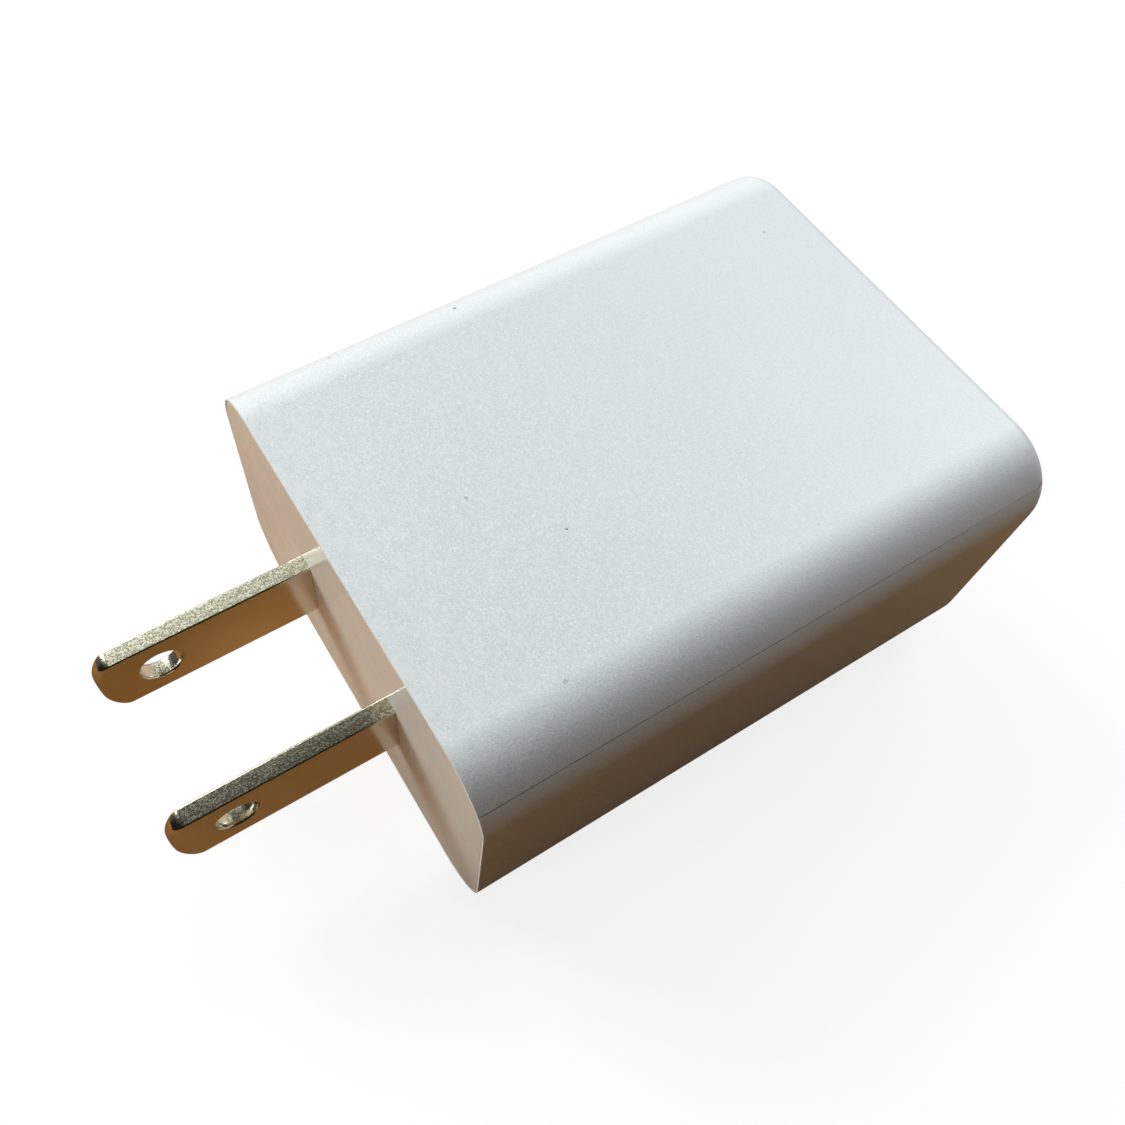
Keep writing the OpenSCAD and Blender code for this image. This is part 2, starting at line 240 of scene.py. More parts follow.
def wire(path: Sequence[Vector], radius: float, steps: int = 12) -> bmesh.types.BMesh:
    """Sweeps a round wire along a path that lies in one plane.

    Args:
        path: The points along its middle.
        radius: The wire's radius.
        steps: Segments round it.

    Returns:
        A closed mesh.
    """
    loops = []
    side = None
    for point, ahead in zip(path, headings(path)):
        side = (side - ahead * side.dot(ahead)).normalized() if side else ahead.orthogonal().normalized()
        other = ahead.cross(side)
        turns = (2 * math.pi * i / steps for i in range(steps))
        loops.append([point + radius * (math.cos(t) * side + math.sin(t) * other) for t in turns])
    return loft(loops)


def strip(path: Sequence[Vector], width: float, thickness: float,
          across: Vector = Vector((1, 0, 0))) -> bmesh.types.BMesh:
    """Sweeps a flat strip with broken edges along a path.

    Args:
        path: The points along its middle, in a plane square to across.
        width: Its size along across.
        thickness: Its size square to the path and to across.
        across: The direction of its width.

    Returns:
        A closed mesh.
    """
    edge = 0.3 * thickness
    corners = []
    for sx, sz in ((1, 1), (-1, 1), (-1, -1), (1, -1)):
        flat = (sx * (width / 2 - edge), sz * thickness / 2)
        upright = (sx * width / 2, sz * (thickness / 2 - edge))
        corners += [upright, flat] if sx * sz > 0 else [flat, upright]
    loops = []
    for point, ahead in zip(path, headings(path)):
        up = across.cross(ahead).normalized()
        loops.append([point + x * across + z * up for x, z in corners])
    return loft(loops)


def piece_from(name: str, mesh: bmesh.types.BMesh, finish: bpy.types.Material, body: Body,
               stands_for: Sequence[str] = ()) -> bpy.types.Object:
    """Turns a finished mesh into a piece of the charger.

    Args:
        name: The piece's name.
        mesh: Its geometry, which is freed.
        finish: Its material.
        body: The rigid body it moves with.
        stands_for: The CAD nodes that it replaces.

    Returns:
        The new object.
    """
    bmesh.ops.recalc_face_normals(mesh, faces=mesh.faces)
    data = bpy.data.meshes.new(name)
    mesh.to_mesh(data)
    mesh.free()
    data.shade_smooth()
    data.set_sharp_from_angle(angle=math.radians(48))
    data.materials.append(finish)
    obj = bpy.data.objects.new(name, data)
    bpy.context.scene.collection.objects.link(obj)
    weighted = obj.modifiers.new("even_normals", "WEIGHTED_NORMAL")
    weighted.keep_sharp = True
    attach(obj, body.value)
    if stands_for:
        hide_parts(*stands_for)
    LOG.info("built %s, %d faces", name, len(data.polygons))
    return obj


def dressed(node: bpy.types.Object, finish: bpy.types.Material, rounding: float) -> None:
    """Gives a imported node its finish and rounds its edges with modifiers.

    Args:
        node: The node's object, whose own mesh stays as it is.
        finish: Its material.
        rounding: How far the rounding reaches from each edge.
    """
    for place_in in node.material_slots:
        place_in.material = finish
    if not node.material_slots:
        node.data.materials.append(finish)
    bevel = node.modifiers.new("soft_edges", "BEVEL")
    bevel.width = rounding
    bevel.segments = 3
    bevel.limit_method = "ANGLE"
    bevel.angle_limit = math.radians(40)
    weighted = node.modifiers.new("even_normals", "WEIGHTED_NORMAL")
    weighted.keep_sharp = True
    LOG.info("dressed %s", node.name)


def carved(mesh: bmesh.types.BMesh, cutters: Sequence[bmesh.types.BMesh]) -> bmesh.types.BMesh:
    """Cuts closed meshes out of a closed mesh.

    Args:
        mesh: The mesh that stays, which is freed.
        cutters: What is taken away, also freed.

    Returns:
        The new mesh.

    Raises:
        ValueError: The cut leaves nothing, as it does when the cutters overlap each other.
    """
    objects = []
    for source in (mesh, merged(cutters)):
        bmesh.ops.recalc_face_normals(source, faces=source.faces)
        data = bpy.data.meshes.new("carving")
        source.to_mesh(data)
        source.free()
        objects.append(bpy.data.objects.new("carving", data))
        bpy.context.scene.collection.objects.link(objects[-1])
    stock, tool = objects
    cut = stock.modifiers.new("cut", "BOOLEAN")
    cut.operation = "DIFFERENCE"
    cut.solver = "EXACT"
    cut.object = tool
    graph = bpy.context.evaluated_depsgraph_get()
    result = bmesh.new()
    result.from_mesh(stock.evaluated_get(graph).to_mesh())
    for obj in objects:
        data = obj.data
        bpy.data.objects.remove(obj)
        bpy.data.meshes.remove(data)
    if not result.faces:
        raise ValueError("the cut leaves an empty mesh")
    return result


# ---------------------------------------------------------------- node tools


class Graph:
    """A node tree that is being built, with short ways to add and join nodes."""

    def __init__(self, tree: bpy.types.NodeTree) -> None:
        """Starts on an empty tree."""
        self.tree = tree
        tree.nodes.clear()

    def add(self, kind: str, inputs: dict | None = None, **settings: object) -> bpy.types.Node:
        """Adds a node.

        Args:
            kind: The node's type, without its ShaderNode prefix.
            inputs: Values for input sockets by name or number; a socket is joined.
            settings: The node's own properties.

        Returns:
            The node.
        """
        node = self.tree.nodes.new(kind if kind.startswith("Node") else "ShaderNode" + kind)
        for key, value in settings.items():
            setattr(node, key, value)
        for key, value in (inputs or {}).items():
            self.feed(node.inputs[key], value)
        return node

    def feed(self, socket: bpy.types.NodeSocket, value: object) -> None:
        """Joins a socket to another, or sets its value.

        Args:
            socket: The input.
            value: A socket to link, or a plain value to set.
        """
        if isinstance(value, bpy.types.NodeSocket):
            self.tree.links.new(value, socket)
        elif socket.type == "RGBA" and len(value) == 3:
            socket.default_value = (*value, 1.0)
        else:
            socket.default_value = value

    def maths(self, operation: str, first: object, second: object = 0.0) -> bpy.types.NodeSocket:
        """Adds a Math node and gives its result."""
        return self.add("Math", {0: first, 1: second}, operation=operation).outputs[0]

    def remap(self, value: object, low: float, high: float, to_low: float = 0.0,
              to_high: float = 1.0) -> bpy.types.NodeSocket:
        """Stretches a value from one range to another, with soft ends, and clamps it.

        Args:
            value: What is remapped.
            low: The value that gives to_low.
            high: The value that gives to_high.
            to_low: Result at low.
            to_high: Result at high.

        Returns:
            The result's socket.
        """
        node = self.add("MapRange", {"Value": value, "From Min": low, "From Max": high,
                                     "To Min": to_low, "To Max": to_high},
                        interpolation_type="SMOOTHSTEP")
        return node.outputs["Result"]

    def mix(self, share: object, first: object, second: object) -> bpy.types.NodeSocket:
        """Mixes two colours and gives the result.

        Args:
            share: Share of the second colour.
            first: First colour.
            second: Second colour.

        Returns:
            The colour's socket.
        """
        node = self.add("Mix", data_type="RGBA")
        for number, value in ((0, share), (6, first), (7, second)):
            self.feed(node.inputs[number], value)
        return node.outputs[2]

    def noise(self, size: object, detail: float = 2.0, coords: object = None,
              roughness: float = 0.5) -> bpy.types.NodeSocket:
        """Adds 3-D noise.

        Args:
            size: Width of its features in metres, a number or a socket.
            detail: Octaves.
            coords: Where it is read; the object's own metres by default.
            roughness: Weight of the finer octaves.

        Returns:
            The noise's value.
        """
        where = coords or self.add("TexCoord").outputs["Object"]
        scale = self.maths("DIVIDE", 1.0, size) if isinstance(size, bpy.types.NodeSocket) else 1 / size
        return self.add("TexNoise", {"Vector": where, "Scale": scale, "Detail": detail,
                                     "Roughness": roughness}).outputs["Fac"]


def effect_group(name: str, inputs: dict[str, object], outputs: dict[str, str],
                 fill: Callable[[Graph, bpy.types.Node, bpy.types.Node], None]) -> bpy.types.NodeTree:
    """Makes a shader node group, or finds it if it is there already.

    Args:
        name: The group's name.
        inputs: Default values by input name; three numbers make a colour.
        outputs: Socket types by output name.
        fill: Builds what is inside, between the input node and the output node.

    Returns:
        The group.
    """
    found = bpy.data.node_groups.get(name)
    if found:
        return found
    tree = bpy.data.node_groups.new(name, "ShaderNodeTree")
    graph = Graph(tree)
    for label, value in inputs.items():
        is_colour = isinstance(value, tuple)
        kind = "NodeSocketColor" if is_colour else "NodeSocketFloat"
        socket = tree.interface.new_socket(label, in_out="INPUT", socket_type=kind)
        socket.default_value = (*value, 1.0) if is_colour else value
    for label, kind in outputs.items():
        tree.interface.new_socket(label, in_out="OUTPUT", socket_type=kind)
    fill(graph, graph.add("NodeGroupInput"), graph.add("NodeGroupOutput"))
    return tree


FLOAT = "NodeSocketFloat"
COLOUR = "NodeSocketColor"


def eroded_grain() -> bpy.types.NodeTree:
    """Height of a spark-eroded mould's fine matt grain.

    Returns:
        The group.
    """

    def fill(graph: Graph, inner: bpy.types.Node, outer: bpy.types.Node) -> None:
        """Builds the group's inside.

        Args:
            graph: The group's node tools.
            inner: Its input node.
            outer: Its output node.
        """
        size = inner.outputs["Size"]
        fine = graph.noise(size, 1.0)
        coarse = graph.noise(graph.maths("MULTIPLY", size, 2.7), 2.0)
        height = graph.maths("ADD", fine, graph.maths("MULTIPLY", coarse, inner.outputs["Coarse"]))
        graph.feed(outer.inputs["Height"], height)
        graph.feed(outer.inputs["Glint"], graph.remap(fine, 0.62, 0.74))

    return effect_group("Eroded grain", {"Size": 0.00016, "Coarse": 0.6},
                        {"Height": FLOAT, "Glint": FLOAT}, fill)


def tone_drift() -> bpy.types.NodeTree:
    """Slow drift between two tones over a surface.

    Returns:
        The group.
    """

    def fill(graph: Graph, inner: bpy.types.Node, outer: bpy.types.Node) -> None:
        """Builds the group's inside.

        Args:
            graph: The group's node tools.
            inner: Its input node.
            outer: Its output node.
        """
        wide = graph.remap(graph.noise(inner.outputs["Size"], 3.0), 0.3, 0.7)
        share = graph.maths("MULTIPLY", wide, inner.outputs["Amount"])
        graph.feed(outer.inputs["Color"],
                   graph.mix(share, inner.outputs["Tone"], inner.outputs["Other Tone"]))
        graph.feed(outer.inputs["Share"], wide)

    return effect_group("Tone drift", {"Tone": (0.8, 0.8, 0.8), "Other Tone": (0.7, 0.7, 0.7),
                                       "Size": 0.01, "Amount": 1.0},
                        {"Color": COLOUR, "Share": FLOAT}, fill)


def dust_specks() -> bpy.types.NodeTree:
    """Mask of sparse small specks of dust on faces that look up.

    Returns:
        The group.
    """

    def fill(graph: Graph, inner: bpy.types.Node, outer: bpy.types.Node) -> None:
        """Builds the group's inside.

        Args:
            graph: The group's node tools.
            inner: Its input node.
            outer: Its output node.
        """
        coords = graph.add("TexCoord")
        where = coords.outputs["Object"]
        scale = graph.maths("DIVIDE", 1.0, inner.outputs["Spacing"])
        wobble = graph.add("TexNoise", {"Vector": where, "Scale": 4500.0, "Detail": 1.0}).outputs["Color"]
        bent = graph.add("VectorMath", {0: wobble, 1: (0.00035, 0.00035, 0.0)}, operation="MULTIPLY")
        moved = graph.add("VectorMath", {0: where, 1: bent.outputs[0]}, operation="ADD").outputs[0]
        cells = graph.add("TexVoronoi", {"Vector": moved, "Scale": scale, "Randomness": 1.0},
                          voronoi_dimensions="2D")
        radius = graph.maths("MULTIPLY", cells.outputs["Distance"], inner.outputs["Spacing"])
        lottery = graph.add("SeparateColor", {0: cells.outputs["Color"]})
        chosen = graph.maths("LESS_THAN", lottery.outputs[0], inner.outputs["Share"])
        reach = graph.remap(lottery.outputs[1], 0.0, 1.0, 0.35, 1.0)
        dot = graph.maths("LESS_THAN", radius, graph.maths("MULTIPLY", reach, inner.outputs["Size"]))
        upward = graph.add("SeparateXYZ", {0: coords.outputs["Normal"]}).outputs[2]
        mask = graph.maths("MULTIPLY", graph.maths("MULTIPLY", dot, chosen), graph.remap(upward, 0.5, 0.9))
        strength = graph.remap(lottery.outputs[2], 0.0, 1.0, 0.3, 1.0)
        graph.feed(outer.inputs["Mask"], graph.maths("MULTIPLY", mask, strength))

    return effect_group("Dust specks", {"Spacing": 0.006, "Size": 0.00025, "Share": 0.25},
                        {"Mask": FLOAT}, fill)


def rim_wear() -> bpy.types.NodeTree:
    """Broken-up mask along the rounded rims that the meshes mark.

    Returns:
        The group.
    """

    def fill(graph: Graph, inner: bpy.types.Node, outer: bpy.types.Node) -> None:
        """Builds the group's inside.

        Args:
            graph: The group's node tools.
            inner: Its input node.
            outer: Its output node.
        """
        rim = graph.add("Attribute", attribute_name="rim").outputs["Fac"]
        patchy = graph.remap(graph.noise(inner.outputs["Size"], 3.0), 0.35, 0.65)
        share = graph.maths("MULTIPLY", graph.maths("MULTIPLY", rim, patchy), inner.outputs["Amount"])
        graph.feed(outer.inputs["Mask"], share)

    return effect_group("Rim wear", {"Size": 0.0012, "Amount": 1.0}, {"Mask": FLOAT}, fill)


def drawn_scratches() -> bpy.types.NodeTree:
    """Fine lines drawn out along Y, as rolling, shearing or sliding leaves on metal.

    Returns:
        The group.
    """

    def fill(graph: Graph, inner: bpy.types.Node, outer: bpy.types.Node) -> None:
        """Builds the group's inside.

        Args:
            graph: The group's node tools.
            inner: Its input node.
            outer: Its output node.
        """
        where = graph.add("TexCoord").outputs["Object"]
        stretch = graph.add("CombineXYZ", {"X": 1.0, "Y": inner.outputs["Stretch"], "Z": 1.0}).outputs[0]
        drawn = graph.add("VectorMath", {0: where, 1: stretch}, operation="MULTIPLY").outputs[0]
        fine = graph.noise(inner.outputs["Width"], 2.0, drawn, 0.7)
        bold = graph.noise(graph.maths("MULTIPLY", inner.outputs["Width"], 4.0), 1.0, drawn)
        lines = graph.maths("ADD", graph.maths("MULTIPLY", fine, 0.6), graph.maths("MULTIPLY", bold, 0.4))
        graph.feed(outer.inputs["Height"], lines)
        graph.feed(outer.inputs["Mask"], graph.remap(lines, 0.52, 0.66))

    return effect_group("Drawn scratches", {"Width": 0.00008, "Stretch": 0.05},
                        {"Height": FLOAT, "Mask": FLOAT}, fill)


def copper_pours() -> bpy.types.NodeTree:
    """Mask of a circuit board's copper pours and tracks under the solder mask.

    Returns:
        The group.
    """

    def fill(graph: Graph, inner: bpy.types.Node, outer: bpy.types.Node) -> None:
        """Builds the group's inside.

        Args:
            graph: The group's node tools.
            inner: Its input node.
            outer: Its output node.
        """
        where = graph.add("TexCoord").outputs["Object"]
        scale = graph.maths("DIVIDE", 1.0, inner.outputs["Size"])
        cells = graph.add("TexVoronoi", {"Vector": where, "Scale": scale, "Randomness": 0.8},
                          distance="CHEBYCHEV")
        pour = graph.maths("LESS_THAN", cells.outputs["Distance"], inner.outputs["Fill"])
        graph.feed(outer.inputs["Mask"], pour)

    return effect_group("Copper pours", {"Size": 0.0035, "Fill": 0.42}, {"Mask": FLOAT}, fill)


def surface(name: str, dress: Callable[[Graph, bpy.types.Node], None]) -> bpy.types.Material:
    """Makes a material with one Principled shader.

    Args:
        name: The material's name.
        dress: Sets and feeds the shader's sockets.

    Returns:
        The material.
    """
    material = bpy.data.materials.new(name)
    material.use_nodes = True
    graph = Graph(material.node_tree)
    shader = graph.add("BsdfPrincipled")
    dress(graph, shader)
    output = graph.add("OutputMaterial")
    graph.feed(output.inputs["Surface"], shader.outputs[0])
    return material


def bump(graph: Graph, shader: bpy.types.Node, height: object, depth: float, strength: float = 1.0,
         under: object = None) -> bpy.types.NodeSocket:
    """Feeds a height to a shader's normal.

    Args:
        graph: The material's tree.
        shader: Its shader.
        height: The height, from 0 to about 1.
        depth: What a height of 1 stands for, in metres.
        strength: Share of the effect.
        under: The normal that this one adds to.

    Returns:
        The new normal.
    """
    node = graph.add("Bump", {"Height": height, "Distance": depth, "Strength": strength})
    if under:
        graph.feed(node.inputs["Normal"], under)
    graph.feed(shader.inputs["Normal"], node.outputs[0])
    return node.outputs[0]


# ---------------------------------------------------------------- finishes

class Finish:
    """What every finish shares: a name, and a dress method that wires the shader."""

    name: str

    def build(self) -> bpy.types.Material:
        """Makes the material."""
        return surface(self.name, self.dress)


@dataclass(frozen=True)
class MattShellFinish(Finish):
    """White plastic from a spark-eroded mould: fine grain, faint tone drift and a few specks, with painted
    shade in the grain's pits and in the seam gap, and painted glints on the grain's peaks.
    """

    name: ClassVar[str] = "shell_matt_white"
    white: Colour = (0.795, 0.83, 0.832)
    shade: Colour = (0.782, 0.812, 0.816)
    # Near-black painted shade for the gap between the two shells.
    seam_gap_shade: Colour = (0.030, 0.027, 0.024)
    # Painted shade for the grain's pits and painted glints for its peaks.
    pit_shade_tone: Colour = (0.70, 0.735, 0.745)
    glint_tone: Colour = (0.90, 0.925, 0.925)
    rim: Colour = (0.86, 0.87, 0.86)
    speck: Colour = (0.16, 0.14, 0.12)
    roughness: float = 0.44
    grain_size: float = 0.115 * MM
    grain_depth: float = 0.018 * MM

    def dress(self, graph: Graph, shader: bpy.types.Node) -> None:
        """Wires the finish.

        Args:
            graph: The material's node tools.
            shader: Its main shader.
        """
        grain = graph.add("Group", {"Size": self.grain_size, "Coarse": 0.2}, node_tree=eroded_grain())
        drift = graph.add("Group", {"Tone": self.white, "Other Tone": self.shade, "Size": 0.012},
                          node_tree=tone_drift())
        dust = graph.add("Group", {"Spacing": 0.0075, "Size": 0.00015, "Share": 0.4},
                         node_tree=dust_specks())
        wear = graph.add("Group", {"Amount": 0.6}, node_tree=rim_wear())
        place_y = graph.add("SeparateXYZ", {0: graph.add("TexCoord").outputs["Object"]}).outputs[1]
        # Painted shade in the grain's pits and painted glints on its peaks, both strongest at the plug end
        # and fading towards the port end.
        plug_end_sparkle = graph.remap(place_y, -40 * MM, 0.0, 0.35, 1.0)
        pit_shade_share = graph.maths("MULTIPLY", graph.remap(grain.outputs["Height"], 0.66, 0.44, 0.0, 0.9), plug_end_sparkle)
        glint_share = graph.maths("MULTIPLY", graph.remap(grain.outputs["Height"], 0.68, 0.8, 0.0, 0.9), plug_end_sparkle)
        colour = graph.mix(pit_shade_share, drift.outputs["Color"], self.pit_shade_tone)
        colour = graph.mix(glint_share, colour, self.glint_tone)
        colour = graph.mix(wear.outputs["Mask"], colour, self.rim)
        colour = graph.mix(dust.outputs["Mask"], colour, self.speck)
        # Painted shade: the seam's cut faces are darkened almost to black, patchy along the line and
        # strongest at the plug end, for the shadow in the gap between the shells.
        seam = graph.add("Attribute", attribute_name="seam").outputs["Fac"]
        patchy = graph.remap(graph.noise(0.0011, 3.0), 0.3, 0.62, 0.75, 1.0)
        colour = graph.mix(graph.maths("MULTIPLY", seam, patchy), colour, self.seam_gap_shade)
        graph.feed(shader.inputs["Base Color"], colour)
        rough = graph.remap(grain.outputs["Glint"], 0.0, 1.0, self.roughness, self.roughness - 0.14)
        graph.feed(shader.inputs["Roughness"], rough)
        shader.inputs["Subsurface Weight"].default_value = 0.08
        shader.inputs["Subsurface Radius"].default_value = (1.0, 0.9, 0.8)
        shader.inputs["Subsurface Scale"].default_value = 0.0006
        bump(graph, shader, grain.outputs["Height"], self.grain_depth)


@dataclass(frozen=True)
class PolishedFaceFinish(Finish):
    """White plastic from a polished mould: glossy, a little warm, with faint flow marks."""

    name: ClassVar[str] = "plug_face_polished"
    white: Colour = (0.785, 0.765, 0.72)
    warm: Colour = (0.80, 0.745, 0.69)
    roughness: float = 0.1

    def dress(self, graph: Graph, shader: bpy.types.Node) -> None:
        """Wires the finish.

        Args:
            graph: The material's node tools.
            shader: Its main shader.
        """
        drift = graph.add("Group", {"Tone": self.white, "Other Tone": self.warm, "Size": 0.009},
                          node_tree=tone_drift())
        graph.feed(shader.inputs["Base Color"], drift.outputs["Color"])
        haze = graph.remap(graph.noise(0.004, 4.0), 0.3, 0.75, self.roughness, self.roughness + 0.08)
        graph.feed(shader.inputs["Roughness"], haze)
        shader.inputs["IOR"].default_value = 1.52
        shader.inputs["Subsurface Weight"].default_value = 0.08
        shader.inputs["Subsurface Scale"].default_value = 0.0006
        orange_peel = graph.noise(0.0035, 2.0)
        bump(graph, shader, orange_peel, 0.012 * MM)


@dataclass(frozen=True)
class PlatedBladeFinish(Finish):
    """Nickel plate over brass: smooth rolled wide faces and coarse glittering sheared edges, whose colour
    carries painted glints between a bright and a dark tone.
    """

    name: ClassVar[str] = "blade_nickel_plate"
    plate: Colour = (0.80, 0.745, 0.655)
    worn: Colour = (0.74, 0.64, 0.48)
    # Bright and dark painted glint tones for the sheared edges; the dark one also colours the scratches.
    edge: Colour = (0.90, 0.87, 0.70)
    edge_dark: Colour = (0.42, 0.39, 0.27)
    smooth: float = 0.13
    rough: float = 0.2
    glitter_size: float = 0.13 * MM
    glitter_depth: float = 0.006 * MM

    def dress(self, graph: Graph, shader: bpy.types.Node) -> None:
        """Wires the finish.

        Args:
            graph: The material's node tools.
            shader: Its main shader.
        """
        facing = graph.add("SeparateXYZ", {0: graph.add("TexCoord").outputs["Normal"]}).outputs[2]
        sheared = graph.remap(graph.maths("ABSOLUTE", facing), 0.75, 0.97)
        drift = graph.add("Group", {"Tone": self.plate, "Other Tone": self.worn, "Size": 0.006,
                                    "Amount": 0.35}, node_tree=tone_drift())
        lines = graph.add("Group", {"Width": 0.00009, "Stretch": 0.06}, node_tree=drawn_scratches())
        glitter = graph.add("Group", {"Size": self.glitter_size, "Coarse": 0.25},
                            node_tree=eroded_grain())
        # Painted glints: the sheared edges' colour flickers between a bright and a dark tone with the grain,
        # and scratches darken it.
        painted_glitter = graph.mix(graph.remap(glitter.outputs["Height"], 0.5, 0.76), self.edge_dark, self.edge)
        scuffed = graph.mix(graph.maths("MULTIPLY", lines.outputs["Mask"], 0.5), painted_glitter, self.edge_dark)
        graph.feed(shader.inputs["Base Color"],
                   graph.mix(sheared, drift.outputs["Color"], scuffed))
        shader.inputs["Metallic"].default_value = 1.0
        smooth = graph.remap(lines.outputs["Mask"], 0.0, 1.0, self.smooth, self.smooth + 0.1)
        spread = graph.add("Mix", {0: sheared, 2: smooth, 3: self.rough}, data_type="FLOAT").outputs[0]
        graph.feed(shader.inputs["Roughness"], spread)
        waves = graph.noise(0.005, 1.0)
        soft = bump(graph, shader, waves, 0.02 * MM)
        scored = bump(graph, shader, lines.outputs["Height"], 0.003 * MM, under=soft)
        coarse = graph.maths("MULTIPLY", glitter.outputs["Height"], sheared)
        bump(graph, shader, coarse, self.glitter_depth, under=scored)


@dataclass(frozen=True)
class PlainPlasticFinish(Finish):
    """Moulded plastic, rubber, resin or enamel with a fine grain and a slow drift of tone."""

    name: str
    tone: Colour
    other: Colour
    roughness: float = 0.5
    grain_size: float = 0.2 * MM
    grain_depth: float = 0.008 * MM
    drift_size: float = 0.004

    def dress(self, graph: Graph, shader: bpy.types.Node) -> None:
        """Wires the finish.

        Args:
            graph: The material's node tools.
            shader: Its main shader.
        """
        drift = graph.add("Group", {"Tone": self.tone, "Other Tone": self.other,
                                    "Size": self.drift_size}, node_tree=tone_drift())
        wear = graph.add("Group", {"Amount": 0.35}, node_tree=rim_wear())
        pale = tuple(min(1.0, c * 1.5 + 0.04) for c in self.tone)
        graph.feed(shader.inputs["Base Color"],
                   graph.mix(wear.outputs["Mask"], drift.outputs["Color"], pale))
        rough = graph.remap(drift.outputs["Share"], 0.0, 1.0, self.roughness, self.roughness + 0.08)
        graph.feed(shader.inputs["Roughness"], rough)
        grain = graph.add("Group", {"Size": self.grain_size}, node_tree=eroded_grain())
        bump(graph, shader, grain.outputs["Height"], self.grain_depth)


@dataclass(frozen=True)
class BareMetalFinish(Finish):
    """Tinned, plated or bare sheet metal with drawn lines and dulled patches."""

    name: str
    bright: Colour
    dull: Colour
    roughness: float = 0.22
    line_width: float = 0.06 * MM

    def dress(self, graph: Graph, shader: bpy.types.Node) -> None:
        """Wires the finish.

        Args:
            graph: The material's node tools.
            shader: Its main shader.
        """
        drift = graph.add("Group", {"Tone": self.bright, "Other Tone": self.dull, "Size": 0.003},
                          node_tree=tone_drift())
        lines = graph.add("Group", {"Width": self.line_width}, node_tree=drawn_scratches())
        graph.feed(shader.inputs["Base Color"], drift.outputs["Color"])
        shader.inputs["Metallic"].default_value = 1.0
        rough = graph.remap(drift.outputs["Share"], 0.0, 1.0, self.roughness, self.roughness + 0.15)
        graph.feed(shader.inputs["Roughness"], rough)
        bump(graph, shader, lines.outputs["Height"], 0.004 * MM)


@dataclass(frozen=True)
class SolderMaskFinish(Finish):
    """Green solder mask over copper: pours and gaps show through as two greens and a faint step."""

    name: ClassVar[str] = "board_solder_mask"
    over_copper: Colour = (0.028, 0.135, 0.058)
    over_board: Colour = (0.016, 0.075, 0.034)
    roughness: float = 0.3

    def dress(self, graph: Graph, shader: bpy.types.Node) -> None:
        """Wires the finish.

        Args:
            graph: The material's node tools.
            shader: Its main shader.
        """
        copper = graph.add("Group", node_tree=copper_pours())
        tone = graph.mix(copper.outputs["Mask"], self.over_board, self.over_copper)
        graph.feed(shader.inputs["Base Color"], tone)
        rough = graph.remap(graph.noise(0.002, 3.0), 0.3, 0.7, self.roughness, self.roughness + 0.12)
        graph.feed(shader.inputs["Roughness"], rough)
        bump(graph, shader, copper.outputs["Mask"], 0.035 * MM)


@dataclass(frozen=True)
class SleeveFinish(Finish):
    """Shrunk vinyl sleeve with a pale polarity stripe down one side."""

    name: str
    tone: Colour
    stripe: Colour
    middle: Colour
    towards: Colour
    reach: float
    roughness: float = 0.26

    def dress(self, graph: Graph, shader: bpy.types.Node) -> None:
        """Wires the finish.

        Args:
            graph: The material's node tools.
            shader: Its main shader.
        """
        where = graph.add("TexCoord").outputs["Object"]
        offset = graph.add("VectorMath", {0: where, 1: self.middle}, operation="SUBTRACT").outputs[0]
        along = graph.add("VectorMath", {0: offset, 1: self.towards}, operation="DOT_PRODUCT")
        stripe = graph.remap(along.outputs["Value"], self.reach, self.reach + 0.06 * MM)
        brighter = tuple(1.5 * c for c in self.tone)
        drift = graph.add("Group", {"Tone": self.tone, "Other Tone": brighter, "Size": 0.005},
                          node_tree=tone_drift())
        graph.feed(shader.inputs["Base Color"], graph.mix(stripe, drift.outputs["Color"], self.stripe))
        rough = graph.remap(graph.noise(0.0015, 3.0), 0.3, 0.7, self.roughness, self.roughness + 0.1)
        graph.feed(shader.inputs["Roughness"], rough)
        bump(graph, shader, graph.noise(0.0012, 2.0), 0.03 * MM)


@dataclass(frozen=True)
class BandedFinish(Finish):
    """Resistor enamel with coloured bands across X."""

    name: ClassVar[str] = "resistor_enamel"
    enamel: Colour = (0.10, 0.135, 0.075)
    bands: tuple[tuple[float, Colour], ...] = ((-2.9, (0.10, 0.045, 0.02)), (-1.5, (0.02, 0.02, 0.02)),
                                               (-0.2, (0.10, 0.045, 0.02)), (1.9, (0.55, 0.38, 0.12)))
    half_band: float = 0.32

    def dress(self, graph: Graph, shader: bpy.types.Node) -> None:
        """Wires the finish.

        Args:
            graph: The material's node tools.
            shader: Its main shader.
        """
        place_x = graph.add("SeparateXYZ", {0: graph.add("TexCoord").outputs["Object"]}).outputs[0]
        wavy = graph.maths("MULTIPLY", graph.noise(0.0008, 2.0), 0.12 * MM)
        along = graph.maths("ADD", place_x, wavy)
        colour = graph.mix(graph.noise(0.002, 3.0), self.enamel, tuple(1.35 * c for c in self.enamel))
        for middle, tone in self.bands:
            away = graph.maths("ABSOLUTE", graph.maths("SUBTRACT", along, middle * MM))
            inside = graph.maths("LESS_THAN", away, self.half_band * MM)
            colour = graph.mix(inside, colour, tone)
        graph.feed(shader.inputs["Base Color"], colour)
        graph.feed(shader.inputs["Roughness"], graph.remap(graph.noise(0.001, 3.0), 0.3, 0.7, 0.34, 0.48))
        bump(graph, shader, graph.noise(0.0009, 2.0), 0.03 * MM)


# ---------------------------------------------------------------- the shell and plug end


